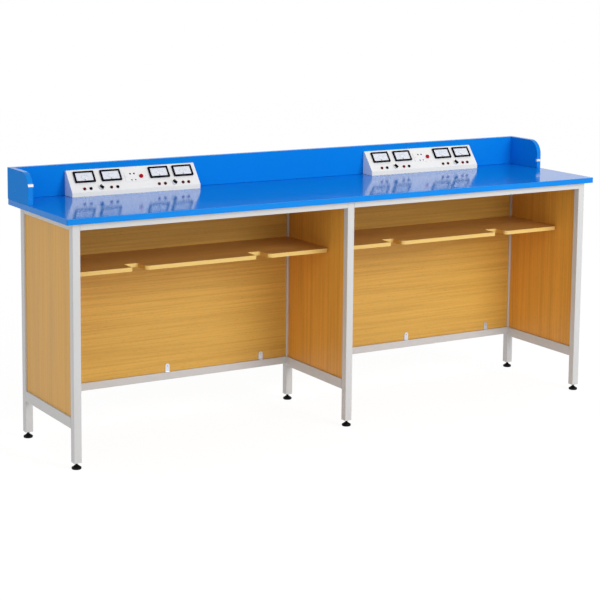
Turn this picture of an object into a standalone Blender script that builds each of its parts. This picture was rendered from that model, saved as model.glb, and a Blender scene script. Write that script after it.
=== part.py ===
"""Two-bay laboratory table with a steel frame, beech boards, a blue top and two instrument consoles.

The table stands on the floor at z = 0 with its length along X. The user sits at the -Y side, and the
upright backboard with the consoles in front of it is at the +Y side. All sizes are in metres.
"""

import math

import bmesh
import bpy
from mathutils import Matrix

# Table top and the boards that stand on it
LENGTH = 2.400
DEPTH = 0.560
HEIGHT = 0.920
TOP_THICKNESS = 0.022
TOP_CORNER = 0.006
TOP_EDGE = 0.0015
UPSTAND = 0.120
UPSTAND_BOARD = 0.020
CHEEK_DEPTH = 0.205
CHEEK_CORNER = 0.060
UPSTAND_EDGE = 0.001

# Steel frame of square and rectangular tube
TUBE = 0.030
TUBE_WALL = 0.0015
TUBE_CORNER = 0.002
END_INSET = 0.030
FRONT_INSET = 0.022
BACK_INSET = 0.050
LEG_BOTTOM = 0.024
LOW_RAIL_TOP = 0.187
SIDE_RAIL_HEIGHT = 0.040
BACK_RAIL_HEIGHT = 0.030
TOP_RAIL_HEIGHT = 0.025

# Levelling feet and the threaded inserts in the legs
INSERT_LENGTH = 0.025
INSERT_FIT = 0.0005
STUD_RADIUS = 0.005
STUD_CLEARANCE = 0.0003
STUD_TOP = 0.062
STUD_CHAMFER = 0.001
FOOT_RADIUS = 0.018
FOOT_EDGE = 0.001
FOOT_RIM = 0.0045
FOOT_SHOULDER_RADIUS = 0.013
FOOT_SHOULDER = 0.0072
FOOT_DOME = 0.009
FOOT_HEX = 0.017
FOOT_HEX_BOTTOM = 0.006
FOOT_HEX_TOP = 0.014

# Beech boards
BOARD = 0.016
BOARD_EDGE = 0.0008
SHELF_TOP = 0.692
SHELF_THICKNESS = 0.016
SHELF_FRONT = -0.112
NOTCHES_FROM_RIGHT_LEG = (0.868, 0.340)
NOTCH_DEPTH = 0.070
NOTCH_WIDTH = 0.056
NOTCH_INNER_CORNER = 0.012
NOTCH_OUTER_CORNER = 0.006

# Angle clips that hold the back boards, and the clips on the cheeks
CLIPS_FROM_RIGHT_LEG = (0.564, 0.136)
CLIP_WIDTH = 0.019
CLIP_HEIGHT = 0.034
CLIP_THICKNESS = 0.002
CLIP_HOLE_RADIUS = 0.0025
CLIP_HOLE_DROP = 0.010
CHEEK_CLIP_HEIGHT = 0.010
CHEEK_CLIP_REACH = 0.006
CHEEK_CLIP_THICKNESS = 0.0012
CHEEK_CLIP_CENTRES = (0.074, 0.034)

# Console housings: a folded steel shell with a sloping face. The left one is placed from the table's left
# end and the right one from its right end. The spaces between the pieces on the face are parts of the width
# that these pieces leave
CONSOLES_FROM_END = (0.225, 0.260)
CONSOLE_SPACES = (25, 27, 16, 10, 20, 19)
CONSOLE_WIDTH = 0.550
CONSOLE_DEPTH = 0.070
CONSOLE_HEIGHT = 0.096
CONSOLE_STRIP = 0.018
CONSOLE_LEDGE = 0.008
CONSOLE_WALL = 0.0015
CONSOLE_FOLD = 0.0015

# Panel meters
METER_UP = 0.0655
METER_WIDTH = 0.084
METER_HEIGHT = 0.049
METER_PROUD = 0.007
METER_EDGE = 0.0012
METER_FRAME = 0.0065
METER_POCKET = 0.004
METER_BARREL_RADIUS = 0.016
METER_BARREL_LENGTH = 0.012
POINTER_LENGTH = 0.023
POINTER_WIDTH = 0.0010
POINTER_HEIGHT = 0.0008
POINTER_HUB_RADIUS = 0.004
POINTER_HUB_HEIGHT = 0.0016
POINTER_ANGLE = math.radians(38)

# Terminals, which share their outline: two below each meter, placed from its middle
TERMINALS_FROM_METER = ((-0.012, 0.0145), (-0.0105, 0.016), (-0.0125, 0.014), (-0.012, 0.0125))
TERMINAL_UP = 0.0135
TERMINAL_COLLAR_RADIUS = 0.0062
TERMINAL_COLLAR = 0.0025
TERMINAL_CAP_RADIUS = 0.0048
TERMINAL_PROUD = 0.0050
TERMINAL_BORE_RADIUS = 0.002
TERMINAL_FLOOR = 0.0005
TERMINAL_STUD_RADIUS = 0.002
TERMINAL_INSIDE = 0.008

# Rotary knobs, one between each two meters
KNOB_FROM_MIDDLE = 0.0025
KNOB_UP = 0.0145
KNOB_RADIUS = 0.0095
KNOB_SKIRT = 0.004
KNOB_GRIP_WIDTH = 0.0065
KNOB_GRIP_LENGTH = 0.0185
KNOB_GRIP_TOP = 0.014
KNOB_EDGE = 0.0012
KNOB_TURN = math.radians(35)
SHAFT_RADIUS = 0.003
SHAFT_CLEARANCE = 0.0004
SHAFT_RING_RADIUS = 0.005
SHAFT_INSIDE = 0.009

# Socket plate with its contact block, and the push button that slides in it
SOCKET_UP = 0.053
SOCKET_WIDTH = 0.097
SOCKET_HEIGHT = 0.044
SOCKET_THICKNESS = 0.002
SOCKET_CORNER = 0.004
SOCKET_EDGE = 0.0008
SOCKET_END_LIP = 0.0105
SOCKET_SIDE_LIP = 0.002
SOCKET_BACK_DEPTH = 0.010
SOCKET_BACK_CLEARANCE = 0.0005
PINS_ACROSS = -0.0145
PIN_SPACING = 0.0165
PIN_ROWS = 0.028
PIN_RADIUS = 0.0022
PIN_BOTTOM = 0.001
SCREW_FROM_END = 0.0075
SCREW_RADIUS = 0.0025
SCREW_PROUD = 0.0008
BUTTON_ACROSS = 0.0205
BUTTON_RADIUS = 0.0080
BUTTON_CLEARANCE = 0.0003
BUTTON_PROUD = 0.0055
BUTTON_DOME = 0.002
BUTTON_FLANGE_RADIUS = 0.0105
BUTTON_FLANGE = 0.002

# Clearance where two pieces meet, and how far a cutter runs past a face
GAP = 0.0003
PAST = 0.004

# Facets of round shapes
ROUND = 20
SMALL_ROUND = 12
CORNER_STEPS = 4
SHARP_ANGLE = math.radians(32)

# Places worked out from the sizes above
TOP_UNDERSIDE = HEIGHT - TOP_THICKNESS
FRAME_TOP = TOP_UNDERSIDE - GAP
LEG_X = (-(LENGTH / 2 - END_INSET - TUBE / 2), 0.0, LENGTH / 2 - END_INSET - TUBE / 2)
FRONT_LEG_Y = -DEPTH / 2 + FRONT_INSET + TUBE / 2
BACK_LEG_Y = DEPTH / 2 - BACK_INSET - TUBE / 2
SIDE_NAMES = ("left", "middle", "right")
BAY_NAMES = ("left", "right")
RECESS = (TUBE - BOARD) / 2
OPENING_TOP = FRAME_TOP - TOP_RAIL_HEIGHT - GAP
OPENING_BOTTOM = LOW_RAIL_TOP + GAP
STANDING = HEIGHT + GAP
BACKBOARD_FRONT = DEPTH / 2 - UPSTAND_BOARD
CONSOLE_BACK = BACKBOARD_FRONT - GAP
CONSOLE_FRONT = CONSOLE_BACK - CONSOLE_DEPTH
FACE_RUN = CONSOLE_DEPTH - CONSOLE_LEDGE
FACE_RISE = CONSOLE_HEIGHT - CONSOLE_STRIP
FACE_TILT = math.atan2(FACE_RISE, FACE_RUN)
CONSOLE_LEFTS = (-LENGTH / 2 + CONSOLES_FROM_END[0], LENGTH / 2 - CONSOLES_FROM_END[1] - CONSOLE_WIDTH)

# Centres across a console's face: two meters, the socket plate and two meters, then what lines up with them
FACE_WIDTHS = (METER_WIDTH, METER_WIDTH, SOCKET_WIDTH, METER_WIDTH, METER_WIDTH)
FACE_PART = (CONSOLE_WIDTH - sum(FACE_WIDTHS)) / sum(CONSOLE_SPACES)
FACE_CENTRES = [
    FACE_PART * sum(CONSOLE_SPACES[: place + 1]) + sum(FACE_WIDTHS[:place]) + width / 2
    for place, width in enumerate(FACE_WIDTHS)
]
SOCKET_ACROSS = FACE_CENTRES[2]
METER_PAIRS = (FACE_CENTRES[:2], FACE_CENTRES[3:])
METERS_ACROSS = [*METER_PAIRS[0], *METER_PAIRS[1]]
KNOBS_ACROSS = [sum(pair) / 2 + KNOB_FROM_MIDDLE for pair in METER_PAIRS]
TERMINALS_ACROSS = [
    meter + offset for meter, offsets in zip(METERS_ACROSS, TERMINALS_FROM_METER) for offset in offsets
]
SOCKET_BACK_WIDTH = SOCKET_WIDTH - 2 * SOCKET_END_LIP
SOCKET_BACK_HEIGHT = SOCKET_HEIGHT - 2 * SOCKET_SIDE_LIP
SCREW_ACROSS = SOCKET_WIDTH / 2 - SCREW_FROM_END

# Turns that lay an outline drawn in XY across the table (its depth along X) or along it
ALONG_X = (math.radians(90), 0.0, math.radians(90))
ALONG_Y = (math.radians(90), 0.0, 0.0)

# Colours, roughness and metallic values
FINISHES = {
    "blue_laminate": ((0.010, 0.155, 0.680), 0.12, 0.0),
    "grey_powder_coat": ((0.610, 0.610, 0.615), 0.42, 0.0),
    "beech_board": ((0.570, 0.330, 0.110), 0.45, 0.0),
    "black_nylon": ((0.015, 0.015, 0.016), 0.60, 0.0),
    "zinc_plate": ((0.780, 0.790, 0.800), 0.35, 1.0),
    "white_plastic": ((0.820, 0.820, 0.820), 0.35, 0.0),
    "white_enamel": ((0.780, 0.780, 0.760), 0.30, 0.0),
    "black_plastic": ((0.012, 0.012, 0.016), 0.30, 0.0),
    "red_plastic": ((0.520, 0.004, 0.012), 0.28, 0.0),
}


def start_scene():
    """Clear the scene and make the collections for the table and for its cutters."""
    for old in list(bpy.data.objects):
        bpy.data.objects.remove(old)
    table = bpy.data.collections.new("laboratory_table")
    cutters = bpy.data.collections.new("cutters")
    bpy.context.scene.collection.children.link(table)
    bpy.context.scene.collection.children.link(cutters)
    return table, cutters


def finish_material(name):
    """The material of one finish, made at its first use."""
    found = bpy.data.materials.get(name)
    if found:
        return found
    colour, roughness, metallic = FINISHES[name]
    made = bpy.data.materials.new(name)
    made.use_nodes = True
    shader = made.node_tree.nodes["Principled BSDF"]
    shader.inputs["Base Color"].default_value = (*colour, 1.0)
    shader.inputs["Roughness"].default_value = roughness
    shader.inputs["Metallic"].default_value = metallic
    made.diffuse_color = (*colour, 1.0)
    return made


def add_piece(name, mesh, finish, location, rotation=(0.0, 0.0, 0.0), parent=None):
    """An object of the table, with its finish and its place."""
    piece = bpy.data.objects.new(name, mesh)
    TABLE.objects.link(piece)
    piece.location = location
    piece.rotation_euler = rotation
    piece.parent = parent
    mesh.materials.append(finish_material(finish))
    return piece


def add_cutter(name, mesh, location, rotation=(0.0, 0.0, 0.0), parent=None):
    """A helper object for a Boolean, left out of renders."""
    helper = bpy.data.objects.new(name, mesh)
    CUTTERS.objects.link(helper)
    helper.location = location
    helper.rotation_euler = rotation
    helper.parent = parent
    helper.hide_render = True
    helper.display_type = "WIRE"
    return helper


def boolean(piece, helper, operation):
    """Cut the helper out of the piece, or join it on."""
    modifier = piece.modifiers.new(operation.title(), "BOOLEAN")
    modifier.operation = operation
    modifier.object = helper
    modifier.solver = "EXACT"


def round_edges(piece, width, segments=1):
    """Round the sharp edges of a piece."""
    modifier = piece.modifiers.new("Edges", "BEVEL")
    modifier.width = width
    modifier.segments = segments
    modifier.limit_method = "ANGLE"
    modifier.angle_limit = math.radians(40)


def box_mesh(width, depth, height):
    """A box about its centre."""
    mesh = bpy.data.meshes.new("box")
    shape = bmesh.new()
    bmesh.ops.create_cube(shape, size=1.0, matrix=Matrix.Diagonal((width, depth, height, 1.0)))
    shape.to_mesh(mesh)
    shape.free()
    return mesh


def prism_mesh(radius, bottom, top, sides):
    """A cylinder or a prism along Z, between two heights."""
    mesh = bpy.data.meshes.new("prism")
    shape = bmesh.new()
    bmesh.ops.create_cone(
        shape,
        cap_ends=True,
        segments=sides,
        radius1=radius,
        radius2=radius,
        depth=top - bottom,
        matrix=Matrix.Translation((0.0, 0.0, (bottom + top) / 2)),
    )
    shape.to_mesh(mesh)
    shape.free()
    mesh.shade_smooth()
    mesh.set_sharp_from_angle(angle=SHARP_ANGLE)
    return mesh


def plate_mesh(outlines, thickness):
    """A flat plate about z = 0 from closed outlines in XY. Outlines inside the first are holes."""
    curve = bpy.data.curves.new("outline", "CURVE")
    curve.dimensions = "2D"
    curve.fill_mode = "BOTH"
    curve.extrude = thickness / 2
    for outline in outlines:
        spline = curve.splines.new("POLY")
        spline.points.add(len(outline) - 1)
        for point, (x, y) in zip(spline.points, outline):
            point.co = (x, y, 0.0, 1.0)
        spline.use_cyclic_u = True
    guide = bpy.data.objects.new("outline", curve)
    bpy.context.scene.collection.objects.link(guide)
    graph = bpy.context.evaluated_depsgraph_get()
    mesh = bpy.data.meshes.new_from_object(guide.evaluated_get(graph))
    bpy.data.objects.remove(guide)
    shape = bmesh.new()
    shape.from_mesh(mesh)
    bmesh.ops.remove_doubles(shape, verts=shape.verts, dist=1e-6)
    bmesh.ops.recalc_face_normals(shape, faces=shape.faces)
    shape.to_mesh(mesh)
    shape.free()
    mesh.materials.clear()
    mesh.shade_smooth()
    mesh.set_sharp_from_angle(angle=SHARP_ANGLE)
    return mesh


def turned_mesh(profile):
    """The half profile of a turned shape, as (radius, height) from its top to its bottom."""
    mesh = bpy.data.meshes.new("profile")
    points = [(radius, 0.0, height) for radius, height in profile]
    mesh.from_pydata(points, [(i, i + 1) for i in range(len(points) - 1)], [])
    return mesh


def turn(piece, steps):
    """Turn a half profile about Z."""
    modifier = piece.modifiers.new("Turned", "SCREW")
    modifier.steps = steps
    modifier.render_steps = steps
    modifier.use_merge_vertices = True
    modifier.merge_threshold = 0.0001
    modifier.use_smooth_shade = True


def arc(x, y, radius, start, end, steps):
    """Points on an arc about (x, y), with its angles in degrees."""
    angles = [math.radians(start + (end - start) * i / steps) for i in range(steps + 1)]
    return [(x + radius * math.cos(a), y + radius * math.sin(a)) for a in angles]


def rounded_rectangle(width, height, radius, steps=CORNER_STEPS):
    """An outline about its centre, with an arc at each corner."""
    x = width / 2 - radius
    y = height / 2 - radius
    corners = ((x, y, 0), (-x, y, 90), (-x, -y, 180), (x, -y, 270))
    return [point for cx, cy, start in corners for point in arc(cx, cy, radius, start, start + 90, steps)]


def rectangle(width, height):
    """A plain outline about its centre."""
    x = width / 2
    y = height / 2
    return [(x, y), (-x, y), (-x, -y), (x, -y)]


def tube_mesh(width, height, length):
    """A rectangular tube along Z about its centre, open at both ends."""
    outer = rounded_rectangle(width, height, TUBE_CORNER, steps=2)
    inner = rectangle(width - 2 * TUBE_WALL, height - 2 * TUBE_WALL)
    return plate_mesh([outer, inner], length)


def add_board(name, size, centre):
    """A rectangular beech board."""
    board = add_piece(name, box_mesh(*size), "beech_board", centre)
    round_edges(board, BOARD_EDGE)
    return board


def build_top():
    """The table top, a laminated board with rounded corners."""
    outline = rounded_rectangle(LENGTH, DEPTH, TOP_CORNER)
    middle = (0.0, 0.0, HEIGHT - TOP_THICKNESS / 2)
    top = add_piece("worktop", plate_mesh([outline], TOP_THICKNESS), "blue_laminate", middle)
    round_edges(top, TOP_EDGE, segments=2)


def build_upstand():
    """The backboard and, at each end, a cheek with a rounded front corner and a clip on its front edge."""
    width = LENGTH - 2 * UPSTAND_BOARD - 2 * GAP
    centre = (0.0, DEPTH / 2 - UPSTAND_BOARD / 2, STANDING + UPSTAND / 2)
    backboard = add_piece("backboard", box_mesh(width, UPSTAND_BOARD, UPSTAND), "blue_laminate", centre)
    round_edges(backboard, UPSTAND_EDGE)
    corner = arc(CHEEK_CORNER, UPSTAND - CHEEK_CORNER, CHEEK_CORNER, 90, 180, 2 * CORNER_STEPS)
    outline = [(CHEEK_DEPTH, 0.0), (CHEEK_DEPTH, UPSTAND), *corner, (0.0, 0.0)]
    front = DEPTH / 2 - CHEEK_DEPTH
    for name, side, clip_centre in zip(BAY_NAMES, (-1, 1), CHEEK_CLIP_CENTRES):
        x = side * (LENGTH / 2 - UPSTAND_BOARD / 2)
        mesh = plate_mesh([outline], UPSTAND_BOARD)
        cheek = add_piece(f"{name}_cheek", mesh, "blue_laminate", (x, front, STANDING), ALONG_X)
        round_edges(cheek, UPSTAND_EDGE)
        lean = math.asin(max(0.0, clip_centre - UPSTAND + CHEEK_CORNER) / CHEEK_CORNER)
        back = CHEEK_CORNER * (1 - math.cos(lean))
        proud = CHEEK_CLIP_THICKNESS + GAP
        y = front + back - proud * math.cos(lean)
        z = STANDING + clip_centre + proud * math.sin(lean)
        mesh = plate_mesh([cheek_clip_outline(-side)], CHEEK_CLIP_HEIGHT)
        add_piece(f"{name}_cheek_clip", mesh, "white_plastic", (x, y, z), (-lean, 0.0, 0.0))


def cheek_clip_outline(inward):
    """The plan of an angle clip: flush with the cheek's outer face, and turned back along its inner face."""
    half = UPSTAND_BOARD / 2
    inner = half + GAP
    end = CHEEK_CLIP_THICKNESS + GAP + CHEEK_CLIP_REACH
    outline = [
        (-half, 0.0),
        (inner + CHEEK_CLIP_THICKNESS, 0.0),
        (inner + CHEEK_CLIP_THICKNESS, end),
        (inner, end),
        (inner, CHEEK_CLIP_THICKNESS),
        (-half, CHEEK_CLIP_THICKNESS),
    ]
    return [(inward * x, y) for x, y in outline]


def build_leg(name, x, y):
    """A square tube leg, closed at its foot by an insert with the bore for the levelling stud."""
    length = FRAME_TOP - LEG_BOTTOM
    place = (x, y, LEG_BOTTOM + length / 2)
    leg = add_piece(f"{name}_leg", tube_mesh(TUBE, TUBE, length), "grey_powder_coat", place)
    width = TUBE - 2 * TUBE_WALL + 2 * INSERT_FIT
    insert = box_mesh(width, width, INSERT_LENGTH)
    boolean(leg, add_cutter(f"{name}_insert", insert, (x, y, LEG_BOTTOM + INSERT_LENGTH / 2)), "UNION")
    bore = prism_mesh(STUD_RADIUS + STUD_CLEARANCE, -PAST, INSERT_LENGTH + PAST, SMALL_ROUND)
    boolean(leg, add_cutter(f"{name}_bore", bore, (x, y, LEG_BOTTOM)), "DIFFERENCE")


def build_foot(name, x, y):
    """A levelling foot: a domed pad with a spanner hexagon and a stud that turns into the leg."""
    profile = [
        (0.0, STUD_TOP),
        (STUD_RADIUS - STUD_CHAMFER, STUD_TOP),
        (STUD_RADIUS, STUD_TOP - STUD_CHAMFER),
        (STUD_RADIUS, FOOT_DOME),
        (FOOT_SHOULDER_RADIUS, FOOT_SHOULDER),
        (FOOT_RADIUS, FOOT_RIM),
        (FOOT_RADIUS, FOOT_EDGE),
        (FOOT_RADIUS - FOOT_EDGE, 0.0),
        (0.0, 0.0),
    ]
    foot = add_piece(f"{name}_foot", turned_mesh(profile), "black_nylon", (x, y, 0.0))
    turn(foot, ROUND)
    hexagon = prism_mesh(FOOT_HEX / math.sqrt(3), FOOT_HEX_BOTTOM, FOOT_HEX_TOP, 6)
    boolean(foot, add_cutter(f"{name}_hexagon", hexagon, (x, y, 0.0)), "UNION")


def build_legs():
    """Six legs on their levelling feet."""
    for side, x in zip(SIDE_NAMES, LEG_X):
        for row, y in (("front", FRONT_LEG_Y), ("back", BACK_LEG_Y)):
            build_leg(f"{row}_{side}", x, y)
            build_foot(f"{row}_{side}", x, y)


def build_rails():
    """The rails between the legs. Those across the table run along Y, and the others along X."""
    across = BACK_LEG_Y - FRONT_LEG_Y - TUBE - 2 * GAP
    middle = (BACK_LEG_Y + FRONT_LEG_Y) / 2
    top_centre = FRAME_TOP - TOP_RAIL_HEIGHT / 2
    for side, x in zip(SIDE_NAMES, LEG_X):
        mesh = tube_mesh(TUBE, TOP_RAIL_HEIGHT, across)
        add_piece(f"{side}_top_rail", mesh, "grey_powder_coat", (x, middle, top_centre), ALONG_Y)
        mesh = tube_mesh(TUBE, SIDE_RAIL_HEIGHT, across)
        place = (x, middle, LOW_RAIL_TOP - SIDE_RAIL_HEIGHT / 2)
        add_piece(f"{side}_bottom_rail", mesh, "grey_powder_coat", place, ALONG_Y)
    for bay, start, end in zip(BAY_NAMES, LEG_X, LEG_X[1:]):
        along = end - start - TUBE - 2 * GAP
        x = (start + end) / 2
        for row, y in (("front", FRONT_LEG_Y), ("back", BACK_LEG_Y)):
            mesh = tube_mesh(TUBE, TOP_RAIL_HEIGHT, along)
            add_piece(f"{row}_top_rail_{bay}", mesh, "grey_powder_coat", (x, y, top_centre), ALONG_X)
        mesh = tube_mesh(TUBE, BACK_RAIL_HEIGHT, along)
        place = (x, BACK_LEG_Y, LOW_RAIL_TOP - BACK_RAIL_HEIGHT / 2)
        add_piece(f"back_bottom_rail_{bay}", mesh, "grey_powder_coat", place, ALONG_X)


def build_panels():
    """The beech boards that fill the frame: three side boards and two back boards."""
    height = OPENING_TOP - OPENING_BOTTOM
    z = (OPENING_TOP + OPENING_BOTTOM) / 2
    across = BACK_LEG_Y - FRONT_LEG_Y - TUBE - 2 * GAP
    for side, x in zip(SIDE_NAMES, LEG_X):
        add_board(f"{side}_side_panel", (BOARD, across, height), (x, (BACK_LEG_Y + FRONT_LEG_Y) / 2, z))
    for bay, start, end in zip(BAY_NAMES, LEG_X, LEG_X[1:]):
        along = end - start - TUBE - 2 * GAP
        add_board(f"{bay}_back_panel", (along, BOARD, height), ((start + end) / 2, BACK_LEG_Y, z))


def notch_outline(cut):
    """A notch in the shelf's front edge: square at its left side, with two rounded corners at its right."""
    right = cut + NOTCH_WIDTH
    deep = NOTCH_DEPTH - NOTCH_INNER_CORNER
    inner = arc(right - NOTCH_INNER_CORNER, deep, NOTCH_INNER_CORNER, 90, 0, CORNER_STEPS)
    outer = arc(right + NOTCH_OUTER_CORNER, NOTCH_OUTER_CORNER, NOTCH_OUTER_CORNER, 180, 270, CORNER_STEPS)
    return [(cut, 0.0), (cut, NOTCH_DEPTH), *inner, *outer]


def build_shelves():
    """A shelf in each bay, notched at its front and cut round the back legs."""
    depth = BACK_LEG_Y - BOARD / 2 - GAP - SHELF_FRONT
    for bay, start, end in zip(BAY_NAMES, LEG_X, LEG_X[1:]):
        centre = (start + end) / 2
        half = (end - start - BOARD) / 2 - GAP
        outline = [(-half, 0.0)]
        for offset in NOTCHES_FROM_RIGHT_LEG:
            outline += notch_outline(end - offset - centre)
        inner = half - RECESS
        step = depth - RECESS
        outline += [(half, 0.0), (half, step), (inner, step), (inner, depth)]
        outline += [(-inner, depth), (-inner, step), (-half, step)]
        place = (centre, SHELF_FRONT, SHELF_TOP - SHELF_THICKNESS / 2)
        shelf = add_piece(f"{bay}_shelf", plate_mesh([outline], SHELF_THICKNESS), "beech_board", place)
        round_edges(shelf, BOARD_EDGE)


def build_panel_clips():
    """Angle clips that stand on the back bottom rails and hold the back boards."""
    face = BACK_LEG_Y - BOARD / 2 - GAP
    foot = RECESS - 2 * GAP
    half = CLIP_WIDTH / 2
    dome = arc(0.0, CLIP_HEIGHT - half, half, 0, 180, 2 * CORNER_STEPS)
    hole = arc(0.0, CLIP_HEIGHT - CLIP_HOLE_DROP, CLIP_HOLE_RADIUS, 0, 360, SMALL_ROUND)[1:]
    for bay, end in zip(BAY_NAMES, LEG_X[1:]):
        for number, offset in enumerate(CLIPS_FROM_RIGHT_LEG, start=1):
            outline = [(half, 0.0), *dome, (-half, 0.0)]
            place = (end - offset, face - CLIP_THICKNESS / 2, LOW_RAIL_TOP + GAP)
            mesh = plate_mesh([outline, hole], CLIP_THICKNESS)
            clip = add_piece(f"{bay}_panel_clip_{number}", mesh, "zinc_plate", place, ALONG_Y)
            toe = box_mesh(CLIP_WIDTH, foot, CLIP_THICKNESS)
            toe_place = (end - offset, face - foot / 2, LOW_RAIL_TOP + GAP + CLIP_THICKNESS / 2)
            boolean(clip, add_cutter(f"{bay}_clip_toe_{number}", toe, toe_place), "UNION")


def housing_section(wall, bottom):
    """The side outline of a console, drawn inside it by the wall."""
    lean = wall * math.tan(FACE_TILT / 2)
    turn_in = wall * math.tan((math.pi / 2 - FACE_TILT) / 2)
    return [
        (CONSOLE_DEPTH - wall, bottom),
        (CONSOLE_DEPTH - wall, CONSOLE_HEIGHT - wall),
        (FACE_RUN + lean, CONSOLE_HEIGHT - wall),
        (wall, CONSOLE_STRIP - turn_in),
        (wall, bottom),
    ]


def build_housing(name, left, face):
    """The folded shell of a console, open below, with its terminals and with holes for what it carries."""
    centre = (left + CONSOLE_WIDTH / 2, CONSOLE_FRONT, STANDING)
    mesh = plate_mesh([housing_section(0.0, 0.0)], CONSOLE_WIDTH)
    housing = add_piece(f"{name}_console_housing", mesh, "white_enamel", centre, ALONG_X)
    round_edges(housing, CONSOLE_FOLD)
    hollow = plate_mesh([housing_section(CONSOLE_WALL, -PAST)], CONSOLE_WIDTH - 2 * CONSOLE_WALL)
    boolean(housing, add_cutter(f"{name}_hollow", hollow, centre, ALONG_X), "DIFFERENCE")
    for number, across in enumerate(METERS_ACROSS, start=1):
        hole = prism_mesh(METER_BARREL_RADIUS + GAP, -PAST, PAST, ROUND)
        place = (across, METER_UP, 0.0)
        helper = add_cutter(f"{name}_meter_hole_{number}", hole, place, parent=face)
        boolean(housing, helper, "DIFFERENCE")
    for number, across in enumerate(KNOBS_ACROSS, start=1):
        hole = prism_mesh(SHAFT_RADIUS + SHAFT_CLEARANCE, -PAST, PAST, SMALL_ROUND)
        place = (across, KNOB_UP, 0.0)
        helper = add_cutter(f"{name}_shaft_hole_{number}", hole, place, parent=face)
        boolean(housing, helper, "DIFFERENCE")
    width = SOCKET_BACK_WIDTH + 2 * SOCKET_BACK_CLEARANCE
    height = SOCKET_BACK_HEIGHT + 2 * SOCKET_BACK_CLEARANCE
    place = (SOCKET_ACROSS, SOCKET_UP, 0.0)
    window = add_cutter(f"{name}_socket_window", box_mesh(width, height, 2 * PAST), place, parent=face)
    boolean(housing, window, "DIFFERENCE")
    for number, across in enumerate(TERMINALS_ACROSS, start=1):
        place = (across, TERMINAL_UP, 0.0)
        terminal = add_cutter(f"{name}_terminal_{number}", terminal_mesh(), place, parent=face)
        turn(terminal, SMALL_ROUND)
        boolean(housing, terminal, "UNION")


def terminal_mesh():
    """The half profile of a banana terminal: a bored cap over a collar, and its stud in the housing."""
    profile = [
        (0.0, TERMINAL_FLOOR),
        (TERMINAL_BORE_RADIUS, TERMINAL_FLOOR),
        (TERMINAL_BORE_RADIUS, TERMINAL_PROUD),
        (TERMINAL_CAP_RADIUS, TERMINAL_PROUD),
        (TERMINAL_CAP_RADIUS, TERMINAL_COLLAR),
        (TERMINAL_COLLAR_RADIUS, TERMINAL_COLLAR),
        (TERMINAL_COLLAR_RADIUS, -CONSOLE_WALL / 2),
        (TERMINAL_STUD_RADIUS, -CONSOLE_WALL / 2),
        (TERMINAL_STUD_RADIUS, -TERMINAL_INSIDE),
        (0.0, -TERMINAL_INSIDE),
    ]
    return turned_mesh(profile)


def build_meter(name, across, face):
    """A moving-coil meter: a framed window over its dial and pointer, and a round barrel behind."""
    mesh = box_mesh(METER_WIDTH, METER_HEIGHT, METER_PROUD)
    place = (across, METER_UP, GAP + METER_PROUD / 2)
    meter = add_piece(name, mesh, "black_plastic", place, parent=face)
    round_edges(meter, METER_EDGE)
    dial = GAP + METER_PROUD - METER_POCKET
    width = METER_WIDTH - 2 * METER_FRAME
    height = METER_HEIGHT - 2 * METER_FRAME
    pocket = plate_mesh([rounded_rectangle(width, height, METER_EDGE, steps=2)], 2 * METER_POCKET)
    place = (across, METER_UP, dial + METER_POCKET)
    boolean(meter, add_cutter(f"{name}_pocket", pocket, place, parent=face), "DIFFERENCE")
    barrel = prism_mesh(METER_BARREL_RADIUS, -METER_BARREL_LENGTH, dial / 2, ROUND)
    place = (across, METER_UP, 0.0)
    boolean(meter, add_cutter(f"{name}_barrel", barrel, place, parent=face), "UNION")
    hub_up = METER_UP - height / 2 + POINTER_HUB_RADIUS + GAP
    hub = prism_mesh(POINTER_HUB_RADIUS, dial - GAP, dial + POINTER_HUB_HEIGHT, SMALL_ROUND)
    place = (across, hub_up, 0.0)
    boolean(meter, add_cutter(f"{name}_hub", hub, place, parent=face), "UNION")
    reach = POINTER_HUB_RADIUS / 2 + POINTER_LENGTH / 2
    pointer_place = (
        across - reach * math.sin(POINTER_ANGLE),
        hub_up + reach * math.cos(POINTER_ANGLE),
        dial + POINTER_HEIGHT / 2 - GAP / 2,
    )
    pointer = box_mesh(POINTER_WIDTH, POINTER_LENGTH, POINTER_HEIGHT + GAP)
    helper = add_cutter(f"{name}_pointer", pointer, pointer_place, (0.0, 0.0, POINTER_ANGLE), parent=face)
    boolean(meter, helper, "UNION")


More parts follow.
